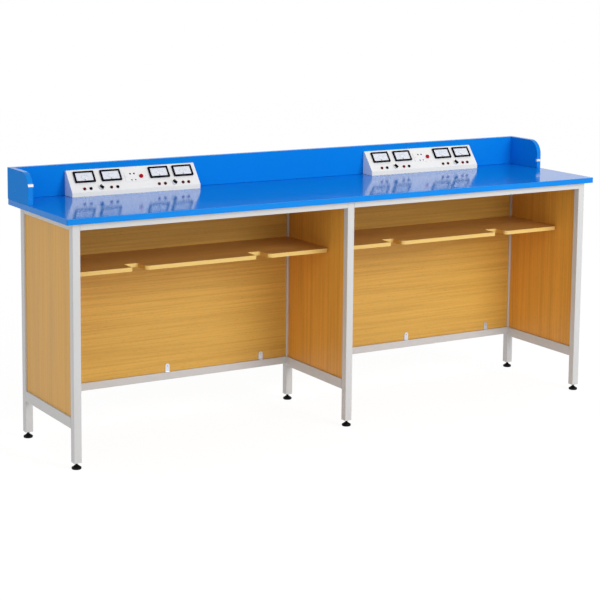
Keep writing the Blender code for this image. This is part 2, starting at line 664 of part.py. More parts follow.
def build_socket_plate(name, face):
    """A plate with two pairs of pin holes, a contact block behind it and the guide bore of the button."""
    base = GAP
    top = base + SOCKET_THICKNESS
    place = (SOCKET_ACROSS, SOCKET_UP, base + SOCKET_THICKNESS / 2)
    mesh = plate_mesh([rounded_rectangle(SOCKET_WIDTH, SOCKET_HEIGHT, SOCKET_CORNER)], SOCKET_THICKNESS)
    plate = add_piece(f"{name}_socket_plate", mesh, "white_plastic", place, parent=face)
    round_edges(plate, SOCKET_EDGE)
    block = box_mesh(SOCKET_BACK_WIDTH, SOCKET_BACK_HEIGHT, SOCKET_BACK_DEPTH + top / 2)
    place = (SOCKET_ACROSS, SOCKET_UP, (top / 2 - SOCKET_BACK_DEPTH) / 2)
    boolean(plate, add_cutter(f"{name}_contact_block", block, place, parent=face), "UNION")
    for column in (-1, 1):
        for row in (-1, 1):
            hole = prism_mesh(PIN_RADIUS, PIN_BOTTOM - SOCKET_BACK_DEPTH, top + PAST, SMALL_ROUND)
            x = SOCKET_ACROSS + PINS_ACROSS + column * PIN_SPACING / 2
            y = SOCKET_UP + row * PIN_ROWS / 2
            helper = add_cutter(f"{name}_pin_{column}_{row}", hole, (x, y, 0.0), parent=face)
            boolean(plate, helper, "DIFFERENCE")
        screw = prism_mesh(SCREW_RADIUS, base + SOCKET_THICKNESS / 2, top + SCREW_PROUD, SMALL_ROUND)
        place = (SOCKET_ACROSS + column * SCREW_ACROSS, SOCKET_UP, 0.0)
        boolean(plate, add_cutter(f"{name}_screw_{column}", screw, place, parent=face), "UNION")
    guide = prism_mesh(BUTTON_RADIUS + BUTTON_CLEARANCE, -SOCKET_BACK_DEPTH - PAST, top + PAST, ROUND)
    place = (SOCKET_ACROSS + BUTTON_ACROSS, SOCKET_UP, 0.0)
    boolean(plate, add_cutter(f"{name}_guide", guide, place, parent=face), "DIFFERENCE")


def build_button(name, face):
    """A round push button, held in its guide by a flange behind the contact block."""
    crown = GAP + SOCKET_THICKNESS + BUTTON_PROUD
    flange_top = -SOCKET_BACK_DEPTH - GAP
    dome = arc(BUTTON_RADIUS - BUTTON_DOME, crown - BUTTON_DOME, BUTTON_DOME, 90, 0, 3)
    profile = [
        (0.0, crown),
        *dome,
        (BUTTON_RADIUS, flange_top),
        (BUTTON_FLANGE_RADIUS, flange_top),
        (BUTTON_FLANGE_RADIUS, flange_top - BUTTON_FLANGE),
        (0.0, flange_top - BUTTON_FLANGE),
    ]
    place = (SOCKET_ACROSS + BUTTON_ACROSS, SOCKET_UP, 0.0)
    button = add_piece(f"{name}_push_button", turned_mesh(profile), "red_plastic", place, parent=face)
    turn(button, ROUND)


def build_knob(name, across, face):
    """A bar knob on its shaft, held by a ring inside the housing."""
    inside = -CONSOLE_WALL - GAP
    profile = [
        (0.0, KNOB_SKIRT),
        (KNOB_RADIUS - KNOB_EDGE, KNOB_SKIRT),
        (KNOB_RADIUS, KNOB_SKIRT - KNOB_EDGE),
        (KNOB_RADIUS, GAP),
        (SHAFT_RADIUS, GAP),
        (SHAFT_RADIUS, inside),
        (SHAFT_RING_RADIUS, inside),
        (SHAFT_RING_RADIUS, inside - CONSOLE_WALL),
        (SHAFT_RADIUS, inside - CONSOLE_WALL),
        (SHAFT_RADIUS, -SHAFT_INSIDE),
        (0.0, -SHAFT_INSIDE),
    ]
    place = (across, KNOB_UP, 0.0)
    knob = add_piece(name, turned_mesh(profile), "black_plastic", place, (0.0, 0.0, KNOB_TURN), parent=face)
    turn(knob, ROUND)
    height = KNOB_GRIP_TOP - KNOB_SKIRT / 2
    grip = box_mesh(KNOB_GRIP_WIDTH, KNOB_GRIP_LENGTH, height)
    grip_place = (across, KNOB_UP, KNOB_GRIP_TOP - height / 2)
    helper = add_cutter(f"{name}_grip", grip, grip_place, (0.0, 0.0, KNOB_TURN), parent=face)
    round_edges(helper, KNOB_EDGE)
    boolean(knob, helper, "UNION")


def build_consoles():
    """Both consoles, each placed on an empty at the lower left corner of its sloping face."""
    for name, left in zip(BAY_NAMES, CONSOLE_LEFTS):
        face = bpy.data.objects.new(f"{name}_console_face", None)
        TABLE.objects.link(face)
        face.location = (left, CONSOLE_FRONT, STANDING + CONSOLE_STRIP)
        face.rotation_euler = (FACE_TILT, 0.0, 0.0)
        build_housing(name, left, face)
        for number, across in enumerate(METERS_ACROSS, start=1):
            build_meter(f"{name}_meter_{number}", across, face)
        build_socket_plate(name, face)
        build_button(name, face)
        for number, across in enumerate(KNOBS_ACROSS, start=1):
            build_knob(f"{name}_knob_{number}", across, face)


TABLE, CUTTERS = start_scene()
build_top()
build_upstand()
build_legs()
build_rails()
build_panels()
build_shelves()
build_panel_clips()
build_consoles()
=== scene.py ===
"""Dresses the solid model of the laboratory table: its finishes, its pieces, the studio and the camera.

The solid model is the fixed frame. Each class below is one sub-assembly of the table. It takes its place
from the solids, builds the meshes that stand for them, gives them their finishes and hands them to the
bodies that they move with. All sizes are in metres.
"""

import logging
import math
from collections.abc import Callable, Sequence
from dataclasses import dataclass
from enum import Enum
from functools import cache, cached_property
from typing import Any, Union

import bmesh
import bpy
from mathutils import Matrix, Vector


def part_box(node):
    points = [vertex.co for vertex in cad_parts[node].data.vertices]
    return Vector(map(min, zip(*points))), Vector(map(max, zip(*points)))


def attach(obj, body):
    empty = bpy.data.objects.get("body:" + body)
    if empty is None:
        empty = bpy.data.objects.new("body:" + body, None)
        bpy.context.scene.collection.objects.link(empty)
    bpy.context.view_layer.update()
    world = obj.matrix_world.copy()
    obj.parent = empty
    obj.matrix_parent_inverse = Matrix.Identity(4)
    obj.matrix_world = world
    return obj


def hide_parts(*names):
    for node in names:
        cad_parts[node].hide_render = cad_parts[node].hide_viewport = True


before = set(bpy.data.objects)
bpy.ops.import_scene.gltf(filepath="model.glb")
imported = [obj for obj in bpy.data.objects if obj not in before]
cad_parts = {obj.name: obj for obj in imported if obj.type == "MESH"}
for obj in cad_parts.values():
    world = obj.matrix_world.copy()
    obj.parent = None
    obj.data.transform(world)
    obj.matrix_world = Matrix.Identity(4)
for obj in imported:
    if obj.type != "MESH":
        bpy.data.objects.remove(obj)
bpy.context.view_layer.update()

LOG = logging.getLogger("laboratory_table")

Pair = tuple[float, float]
Triple = tuple[float, float, float]
Colour = Triple
Outline = list[Pair]
Named = dict[Any, Any] | None
Operand = Union["Wire", float]

# Where two pieces meet, the solid model leaves this gap
GAP = 0.0003
TINY = 1e-7
# With more than this part of its normal along an axis, a face counts as facing that way
FACING = 0.3
# With more than this part, it counts as lying square to that axis
SQUARE = 0.9
FINE_EDGE = 0.0002
BAYS = ("left", "right")
SIDES = ("left", "middle", "right")
ROWS = ("front", "back")

# Turns local X, Y and Z into the table's Y, Z and X, for outlines seen from the table's end
FROM_END = Matrix(((0, 0, 1, 0), (1, 0, 0, 0), (0, 1, 0, 0), (0, 0, 0, 1)))
# Turns local X, Y and Z into the table's X, Z and -Y, for outlines seen from the front
FROM_FRONT = Matrix(((1, 0, 0, 0), (0, 0, -1, 0), (0, 1, 0, 0), (0, 0, 0, 1)))

PLACED: list[str] = []


class Slot(Enum):
    """The material slots of the table's record."""

    BLUE = "blue_laminate"
    GREY = "grey_powder_coat"
    BEECH = "beech_board"
    NYLON = "black_nylon"
    ZINC = "zinc_plate"
    WHITE = "white_plastic"
    ENAMEL = "white_enamel"
    BLACK = "black_plastic"
    RED = "red_plastic"


class Grain(Enum):
    """The direction of a board's grain, as the index of the axis that it follows."""

    ALONG = 0
    UPRIGHT = 2


# Node trees


class Wire:
    """An output socket of a node tree. Arithmetic on it adds Math nodes."""

    def __init__(self, tree: "Tree", socket: bpy.types.NodeSocket) -> None:
        """Wrap an output socket of a tree."""
        self.tree = tree
        self.socket = socket

    def __add__(self, other: Operand) -> "Wire":
        """The sum."""
        return self.tree.math("ADD", self, other)

    def __radd__(self, other: float) -> "Wire":
        """The sum, with a number first."""
        return self.tree.math("ADD", other, self)

    def __sub__(self, other: Operand) -> "Wire":
        """The difference."""
        return self.tree.math("SUBTRACT", self, other)

    def __rsub__(self, other: float) -> "Wire":
        """The difference, with a number first."""
        return self.tree.math("SUBTRACT", other, self)

    def __mul__(self, other: Operand) -> "Wire":
        """The product."""
        return self.tree.math("MULTIPLY", self, other)

    def __rmul__(self, other: float) -> "Wire":
        """The product, with a number first."""
        return self.tree.math("MULTIPLY", other, self)

    def __truediv__(self, other: Operand) -> "Wire":
        """The quotient."""
        return self.tree.math("DIVIDE", self, other)

    def __rtruediv__(self, other: float) -> "Wire":
        """The quotient, with a number first."""
        return self.tree.math("DIVIDE", other, self)


class Tree:
    """A node tree of a material, of a pattern or of the surround."""

    def __init__(self, tree: bpy.types.NodeTree) -> None:
        """Take over an empty or a new tree."""
        self.tree = tree

    def join(self, socket: bpy.types.NodeSocket, value: Any) -> None:
        """Link a wire to an input, or write a value into it.

        Args:
            socket: The input.
            value: A wire, a number, a vector, or a colour of three numbers.
        """
        if isinstance(value, Wire):
            self.tree.links.new(value.socket, socket)
        else:
            socket.default_value = (*value, 1.0) if socket.type == "RGBA" else value

    def node(self, kind: str, settings: Named = None, inputs: Named = None, output: int | str = 0) -> Wire:
        """Add a node.

        Args:
            kind: The node's type.
            settings: Its properties, set first.
            inputs: Values or wires by the input's name or index.
            output: The index or the name of the output to return.

        Returns:
            The wire from that output.
        """
        made = self.tree.nodes.new(kind)
        for key, value in (settings or {}).items():
            setattr(made, key, value)
        for key, value in (inputs or {}).items():
            self.join(made.inputs[key], value)
        return Wire(self, made.outputs[output])

    def math(self, operation: str, first: Operand, second: Operand = 0.0) -> Wire:
        """A Math node of one or two values."""
        return self.node("ShaderNodeMath", {"operation": operation}, {0: first, 1: second})

    def clamp(self, value: Wire) -> Wire:
        """The value kept between 0 and 1."""
        return self.node("ShaderNodeClamp", None, {0: value})

    def vector(self, x: Operand = 0.0, y: Operand = 0.0, z: Operand = 0.0) -> Wire:
        """A vector of three values."""
        return self.node("ShaderNodeCombineXYZ", None, {0: x, 1: y, 2: z})

    def background_rays(self) -> Wire:
        """Tell the rays that show the background from those that light the table by it.

        Returns:
            1 for a ray that is seen directly, mirrored or through a clear piece, else 0.
        """
        kinds = ("Camera", "Glossy", "Transmission")
        seen, mirror, through = [self.node("ShaderNodeLightPath", output=f"Is {kind} Ray") for kind in kinds]
        return self.clamp(seen + mirror + through)


class Graph(Tree):
    """The node tree of one material, from its coordinates to its Principled shader."""

    def __init__(self, name: str) -> None:
        """Make the material.

        Args:
            name: The material's name.
        """
        self.material = bpy.data.materials.new(name)
        self.material.use_nodes = True
        super().__init__(self.material.node_tree)
        self.shader = self.tree.nodes["Principled BSDF"]

    def place(self, scale: Triple = (1.0, 1.0, 1.0), turn: float = 0.0) -> Wire:
        """Object coordinates, scaled along each axis and turned about Z by an angle in radians."""
        inputs = {"Vector": self.node("ShaderNodeTexCoord", output="Object"), "Scale": scale}
        return self.node("ShaderNodeMapping", None, inputs | {"Rotation": (0.0, 0.0, turn)})

    def noise(
        self, vector: Wire, scale: float, detail: float = 2.0, rough: float = 0.5, bend: float = 0.0
    ) -> Wire:
        """A noise between 0 and 1.

        Args:
            vector: The coordinates.
            scale: The number of features in a metre.
            detail: The number of octaves.
            rough: The share of each further octave.
            bend: How much it is distorted.

        Returns:
            The noise.
        """
        inputs = {"Vector": vector, "Scale": scale, "Detail": detail, "Roughness": rough, "Distortion": bend}
        return self.node("ShaderNodeTexNoise", None, inputs)

    def band(self, value: Wire, low: float, high: float) -> Wire:
        """A smooth step from 0 at the low value to 1 at the high value."""
        settings = {"interpolation_type": "SMOOTHSTEP"}
        return self.node("ShaderNodeMapRange", settings, {"Value": value, "From Min": low, "From Max": high})

    def blend(self, share: Operand, first: Wire | Colour, second: Wire | Colour) -> Wire:
        """A mix of two colours, by the share of the second."""
        return self.node("ShaderNodeMix", {"data_type": "RGBA"}, {0: share, 6: first, 7: second}, output=2)

    def bump(self, height: Wire, distance: float) -> Wire:
        """A normal bent by a height, of which 1 stands for a distance in metres."""
        return self.node("ShaderNodeBump", None, {"Strength": 1.0, "Distance": distance, "Height": height})

    def shade(self, **inputs: Any) -> None:
        """Feed the Principled shader.

        Args:
            inputs: Values or wires by the socket's name, with _ for a space.
        """
        for key, value in inputs.items():
            self.join(self.shader.inputs[key.replace("_", " ")], value)


# Finishes


def shaded(colour: Colour, factor: float) -> Colour:
    """A colour times a factor."""
    return tuple(min(1.0, part * factor) for part in colour)


@dataclass(frozen=True)
class Finish:
    """What every finish has: its name, its colour, its roughness and the strength of its mirror."""

    name: str
    colour: Colour
    roughness: float
    mirror: float = 0.5

    def dress(self, graph: Graph) -> None:
        """Build the graph of a plain surface."""
        graph.shade(Base_Color=self.colour, Roughness=self.roughness)

    def tone(self, graph: Graph, share: Wire, dark: float, light: float) -> Wire:
        """The colour, from a darker to a lighter tone of it."""
        return graph.blend(share, shaded(self.colour, dark), shaded(self.colour, light))


@dataclass(frozen=True)
class Laminate(Finish):
    """Gloss laminate: an even colour, faint waviness, and fine rub marks that dull it a little."""

    wave: float = 0.0001
    rub_angle: float = math.radians(24)

    def dress(self, graph: Graph) -> None:
        """Build the graph.

        Args:
            graph: The material's graph.
        """
        spread = graph.place()
        cloud = graph.noise(spread, 2.5, 3.0)
        speck = graph.noise(spread, 1500.0, 1.0)
        rubbed = graph.noise(graph.place((1.0, 14.0, 4.0), self.rub_angle), 9.0, 5.0, 0.65)
        tone = self.tone(graph, graph.clamp(cloud * 0.7 + speck * 0.3), 0.92, 1.08)
        roughness = self.roughness + graph.band(rubbed, 0.54, 0.72) * 0.14 + cloud * 0.03
        height = graph.noise(spread, 9.0, 2.0) + graph.noise(spread, 160.0, 2.0) * 0.05
        graph.shade(Base_Color=tone, Roughness=roughness, Normal=graph.bump(height, self.wave))


@dataclass(frozen=True)
class Beech(Finish):
    """Beech board: fine straight streaks, faint cathedral lines, pores and ray flecks along the grain."""

    grain: Grain = Grain.ALONG
    dark: Colour = (0.34, 0.14, 0.02)
    depth: float = 0.00004

    def figure(self, graph: Graph, share: float, *settings: float) -> Wire:
        """A noise that runs along the grain.

        Args:
            graph: The material's graph.
            share: Its scale along the grain against the one across it.
            settings: Its scale across the grain and the further values of a noise.

        Returns:
            The noise.
        """
        scale = [1.0, 1.0, 1.0]
        scale[self.grain.value] = share
        return graph.noise(graph.place(tuple(scale)), *settings)

    def dress(self, graph: Graph) -> None:
        """Build the graph.

        Args:
            graph: The material's graph.
        """
        broad = self.figure(graph, 0.04, 12.0, 3.0, 0.5, 0.1)
        streak = self.figure(graph, 0.010, 130.0, 4.0, 0.6)
        field = self.figure(graph, 0.06, 2.4, 1.0, 0.4, 0.2)
        line = graph.band(graph.math("PINGPONG", field * 30.0, 1.0), 0.55, 1.0)
        fibre = self.figure(graph, 0.02, 420.0, 3.0, 0.6)
        fleck = graph.band(self.figure(graph, 0.13, 520.0, 1.0), 0.64, 0.72)
        pore = graph.band(self.figure(graph, 0.05, 1100.0, 1.0), 0.62, 0.72)
        tone = self.tone(graph, graph.band(broad, 0.3, 0.7), 0.95, 1.06)
        tone = graph.blend(graph.band(streak, 0.40, 0.66) * 0.24, tone, self.dark)
        tone = graph.blend(line * 0.10, tone, self.dark)
        tone = graph.blend(graph.band(fibre, 0.35, 0.75) * 0.16, tone, shaded(self.dark, 1.3))
        tone = graph.blend(graph.clamp(fleck * 0.22 + pore * 0.16), tone, shaded(self.dark, 0.8))
        roughness = self.roughness + broad * 0.10 - line * 0.03
        height = fibre * 0.6 - pore * 0.6 - fleck * 0.3
        graph.shade(Base_Color=tone, Roughness=roughness, Normal=graph.bump(height, self.depth))


@dataclass(frozen=True)
class Coat(Finish):
    """Powder coat or enamel: a fine orange peel and a slightly uneven gloss."""

    peel: float = 500.0
    height: float = 0.00003
    soil: Colour = (0.40, 0.38, 0.34)

    def dress(self, graph: Graph) -> None:
        """Build the graph.

        Args:
            graph: The material's graph.
        """
        spread = graph.place()
        cloud = graph.noise(spread, 5.0, 4.0, 0.6)
        peel = graph.noise(spread, self.peel, 2.0, 0.5)
        grain = graph.noise(spread, self.peel * 3.1, 1.0)
        tone = self.tone(graph, cloud, 0.965, 1.03)
        tone = graph.blend(graph.band(cloud, 0.58, 0.80) * 0.06, tone, self.soil)
        roughness = self.roughness + cloud * 0.08 + grain * 0.04
        normal = graph.bump(peel * 0.7 + grain * 0.3, self.height)
        graph.shade(Base_Color=tone, Roughness=roughness, Normal=normal)


@dataclass(frozen=True)
class Moulded(Finish):
    """Moulded plastic: a faint grain from the mould, and a gloss that varies with handling."""

    grain: float = 1400.0
    height: float = 0.00001

    def dress(self, graph: Graph) -> None:
        """Build the graph.

        Args:
            graph: The material's graph.
        """
        spread = graph.place()
        handled = graph.noise(spread, 60.0, 3.0)
        grain = graph.noise(spread, self.grain, 2.0)
        roughness = self.roughness + handled * 0.10 - 0.03
        tone = self.tone(graph, handled, 0.92, 1.10)
        graph.shade(Base_Color=tone, Roughness=roughness, Normal=graph.bump(grain, self.height))


@dataclass(frozen=True)
class Plated(Finish):
    """Plated steel: metal with fine brushing and small dull spots."""

    brushing: Triple = (1.0, 1.0, 0.05)
    height: float = 0.000008

    def dress(self, graph: Graph) -> None:
        """Build the graph.

        Args:
            graph: The material's graph.
        """
        lines = graph.noise(graph.place(self.brushing), 1800.0, 2.0)
        spots = graph.band(graph.noise(graph.place(), 300.0, 3.0), 0.55, 0.75)
        roughness = self.roughness + spots * 0.15 + lines * 0.08
        tone = self.tone(graph, spots * 0.5, 1.0, 0.72)
        graph.shade(Base_Color=tone, Metallic=1.0, Roughness=roughness, Normal=graph.bump(lines, self.height))


@dataclass(frozen=True)
class Card(Finish):
    """A printed dial card: matt, with a faint tone from age and paper fibre."""

    height: float = 0.000005

    def dress(self, graph: Graph) -> None:
        """Build the graph.

        Args:
            graph: The material's graph.
        """
        spread = graph.place()
        cloud = graph.noise(spread, 45.0, 3.0)
        fibre = graph.noise(spread, 2500.0, 2.0)
        roughness = self.roughness + fibre * 0.1
        tone = self.tone(graph, cloud, 0.96, 1.02)
        graph.shade(Base_Color=tone, Roughness=roughness, Normal=graph.bump(fibre, self.height))


@dataclass(frozen=True)
class Clear(Finish):
    """A clear plastic window that shows as a faint gloss over what lies behind it."""

    cover: float = 0.10

    def dress(self, graph: Graph) -> None:
        """Build the graph.

        Args:
            graph: The material's graph.
        """
        haze = graph.noise(graph.place(), 90.0, 3.0)
        graph.shade(Base_Color=self.colour, Roughness=self.roughness + haze * 0.06, Alpha=self.cover)
        graph.material.surface_render_method = "BLENDED"


BLUE = Laminate("gloss_blue_laminate", (0.002, 0.205, 0.740), 0.09, 0.25)
BLUE_UPRIGHT = Laminate("blue_upstand_laminate", (0.003, 0.235, 0.770), 0.16, 0.013)
BLUE_BAND = Laminate("blue_edge_band", (0.002, 0.235, 0.760), 0.18, 0.12, wave=0.00003)
BACKING = Coat("backing_sheet", (0.62, 0.60, 0.56), 0.55)
CHIPBOARD = Coat("board_core", (0.36, 0.26, 0.15), 0.80, peel=260.0, height=0.0002)
STEEL = Coat("grey_powder_coat_tube", (0.610, 0.610, 0.610), 0.38, peel=900.0, height=0.00002)
# Two copies of one beech: paler is painted open light, redder is painted warm bounce light under the table
BEECH_OPEN_LIGHT = Beech("beech_upright_painted_open_light", (0.740, 0.405, 0.085), 0.40, 0.30, Grain.UPRIGHT, (0.48, 0.24, 0.07))
BEECH_WARM_SHADE = Beech("beech_upright_painted_warm_shade", (0.830, 0.395, 0.058), 0.40, 0.30, Grain.UPRIGHT)
BEECH_BACK = Beech("beech_rear_grain_along", (0.760, 0.450, 0.092), 0.40, 0.30)
# A darker copy of the beech for the shelves: painted shade under the worktop
BEECH_SHELF_SHADED = Beech("beech_shelf_painted_shade", (0.620, 0.290, 0.070), 0.40, 0.30)
# A lighter beech for the shelves' edges: partly their own tone, partly painted light
BEECH_EDGE_LIT = Beech("beech_edge_strip_painted_light", (0.820, 0.570, 0.180), 0.42, 0.30, dark=(0.62, 0.38, 0.10))
# A darker beech for the shelves' faces that turn left: painted shade
BEECH_SIDE_SHADED = Beech("beech_side_painted_shade", (0.720, 0.380, 0.080), 0.55, 0.20, Grain.UPRIGHT)
NYLON = Moulded("black_foot_nylon", (0.003, 0.003, 0.004), 0.55, 0.12, grain=900.0, height=0.00004)
ZINC = Plated("bright_zinc", (0.66, 0.70, 0.78), 0.34)
NICKEL = Plated("nickel_contact", (0.72, 0.70, 0.66), 0.20)
WHITE = Moulded("white_plastic", (0.800, 0.800, 0.800), 0.30)
IVORY = Moulded("ivory_knob_skirt", (0.860, 0.850, 0.820), 0.32, 0.30)
ENAMEL = Coat("off_white_enamel", (0.900, 0.880, 0.845), 0.26, 0.40, peel=420.0, height=0.00002)
# A warmer, lighter copy of the enamel: painted light that cancels the blue bounce from the worktop
ENAMEL_WARM_LIT = Coat("enamel_painted_warm_light", (0.970, 0.910, 0.770), 0.26, 0.40, peel=420.0, height=0.00002)
BLACK = Moulded("black_instrument_plastic", (0.002, 0.002, 0.010), 0.34, 0.03)
RED = Moulded("red_terminal_plastic", (0.150, 0.001, 0.010), 0.34, 0.04)
RED_BUTTON = Moulded("red_button_plastic", (0.430, 0.001, 0.010), 0.28, 0.08)
DIAL = Card("dial_card", (0.840, 0.860, 0.910), 0.60, 0.20)
INK = Card("dial_ink", (0.150, 0.150, 0.180), 0.60, 0.20)
NEEDLE = Moulded("needle_lacquer", (0.300, 0.300, 0.330), 0.40, 0.30)
WINDOW = Clear("clear_window", (1.0, 1.0, 1.0), 0.03)


@cache
def material_of(finish: Finish) -> bpy.types.Material:
    """The material of a finish, made at its first use.

    Args:
        finish: The finish.

    Returns:
        The material.
    """
    graph = Graph(finish.name)
    finish.dress(graph)
    graph.shade(Specular_IOR_Level=finish.mirror)
    graph.material.diffuse_color = (*finish.colour, 1.0)
    return graph.material


# Outlines


def arc(x: float, y: float, radius: float, start: float, end: float, steps: int) -> Outline:
    """Points on an arc.

    Args:
        x: The centre's first coordinate.
        y: The centre's second coordinate.
        radius: The arc's radius.
        start: The first angle, in degrees.
        end: The last angle, in degrees.
        steps: The number of chords.

    Returns:
        The points from the first angle to the last.
    """
    angles = [math.radians(start + (end - start) * i / steps) for i in range(steps + 1)]
    return [(x + radius * math.cos(a), y + radius * math.sin(a)) for a in angles]


def rounded_rectangle(width: float, height: float, radius: float, steps: int = 5) -> Outline:
    """An outline about its centre with an arc at each corner.

    Args:
        width: The size along the first axis.
        height: The size along the second axis.
        radius: The radius of the corners.
        steps: The number of chords in a corner.

    Returns:
        The points, counter-clockwise.
    """
    x, y = width / 2 - radius, height / 2 - radius
    corners = ((x, y, 0), (-x, y, 90), (-x, -y, 180), (x, -y, 270))
    return [point for cx, cy, start in corners for point in arc(cx, cy, radius, start, start + 90, steps)]


def inset(outline: Outline, distance: float) -> Outline:
    """Move a closed, counter-clockwise outline inwards.

    Args:
        outline: The points.
        distance: How far each side moves in, or out where it is negative.

    Returns:
        As many points as before.
    """
    moved = []
    points = [Vector(point) for point in outline]
    for before, here, after in zip(points[-1:] + points[:-1], points, points[1:] + points[:1]):
        first = (here - before).normalized()
        second = (after - here).normalized()
        turned = Vector((-first.y - second.y, first.x + second.x))
        scale = distance / max(1 + first.dot(second), 0.2)
        moved.append((here.x + turned.x * scale, here.y + turned.y * scale))
    return moved


def softened(corners: Sequence[Triple], steps: int) -> Outline:
    """Round the corners of a closed polygon.

    Args:
        corners: Each corner as its two coordinates and its radius, where 0 keeps it sharp.
        steps: The number of chords in a rounded corner.

    Returns:
        The points of the rounded outline.
    """
    outline: Outline = []
    for i, (x, y, radius) in enumerate(corners):
        here = Vector((x, y))
        if radius < TINY:
            outline.append((x, y))
            continue
        back = (Vector(corners[i - 1][:2]) - here).normalized()
        ahead = (Vector(corners[(i + 1) % len(corners)][:2]) - here).normalized()
        half = math.acos(max(-1.0, min(1.0, back.dot(ahead)))) / 2
        reach = radius / math.tan(half)
        centre = here + (back + ahead).normalized() * (radius / math.sin(half))
        first, last = here + back * reach - centre, here + ahead * reach - centre
        sweep = first.angle_signed(last)
        outline += [tuple(centre + Matrix.Rotation(-sweep * k / steps, 2) @ first) for k in range(steps + 1)]
    return outline


def edge_profile(low: float, high: float, rounding: Pair, steps: int) -> Outline:
    """The side of a plate whose two edges are rounded.

    Args:
        low: The plate's lower height.
        high: The plate's upper height.
        rounding: The rounding of the lower and of the upper edge, 0 for a sharp one.
        steps: The number of chords in a rounding.

    Returns:
        Pairs of inset and height from the bottom to the top.
    """
    below, above = rounding
    quarter = [math.pi / 2 * i / steps for i in range(steps + 1)]
    lower = [(below * (1 - math.sin(a)), low + below * (1 - math.cos(a))) for a in quarter]
    upper = [(above * (1 - math.cos(a)), high - above * (1 - math.sin(a))) for a in quarter]
    return (lower if below else [(0.0, low)]) + (upper if above else [(0.0, high)])


def rod(radius: float, low: float, high: float) -> Outline:
    """The profile of a plain cylinder between two heights."""
    return [(0.0, low), (radius, low), (radius, high), (0.0, high)]


@dataclass(frozen=True)
class Flutes:
    """Flutes round a turned piece between two heights, their depth as a share of the radius."""

    count: int
    depth: float
    low: float
    high: float

    def factor(self, angle: float, height: float) -> float:
        """The factor of the radius at an angle and a height."""
        return 1.0 + (self.depth * math.cos(self.count * angle) if self.low < height < self.high else 0.0)


# Meshes


def linked(name: str, data: bpy.types.ID) -> bpy.types.Object:
    """Make an object and link it to the scene.

    Args:
        name: The object's name.
        data: Its mesh, letters, camera or lamp.

    Returns:
        The object.
    """
    made = bpy.data.objects.new(name, data)
    bpy.context.scene.collection.objects.link(made)
    return made


def object_of(name: str, data: bpy.types.Mesh, sharp: float = 40.0) -> bpy.types.Object:
    """An object at the origin whose flat faces shade flat and whose roundings shade smooth.

    Args:
        name: The piece's name.
        data: Its mesh.
        sharp: The angle in degrees above which an edge stays sharp.

    Returns:
        The object, linked to the scene.
    """
    data.shade_smooth()
    data.set_sharp_from_angle(angle=math.radians(sharp))
    piece = linked(name, data)
    piece.modifiers.new("Flat faces", "WEIGHTED_NORMAL").keep_sharp = True
    return piece


def plain_mesh(name: str, holder: bpy.types.Object) -> bpy.types.Mesh:
    """The plain mesh of an object with its modifiers in it, in place of the object.

    Args:
        name: The name of the mesh.
        holder: The object, which is removed.

    Returns:
        The mesh.
    """
    graph = bpy.context.evaluated_depsgraph_get()
    mesh = bpy.data.meshes.new_from_object(holder.evaluated_get(graph), depsgraph=graph)
    bpy.data.objects.remove(holder)
    mesh.name = name
    return mesh


def all_in(finish: Finish, mesh: bpy.types.Mesh) -> bpy.types.Mesh:
    """Give a mesh one finish all over.

    Args:
        finish: The finish.
        mesh: The mesh.

    Returns:
        The same mesh.
    """
    mesh.materials.clear()
    mesh.materials.append(material_of(finish))
    mesh.polygons.foreach_set("material_index", [0] * len(mesh.polygons))
    return mesh


def fit(piece: bpy.types.Object, slot: Slot, *nodes: str, body: str = "table") -> None:
    """Hand a piece to its body.

    Args:
        piece: The finished piece.
        slot: The record's material slot of the piece; it is not used.
        nodes: The solids that it stands for.
        body: The body that it moves with.
    """
    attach(piece, body)
    if nodes:
        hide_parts(*nodes)
    PLACED.append(piece.name)
    LOG.info("%s rides on %s with %d faces", piece.name, body, len(piece.data.polygons))


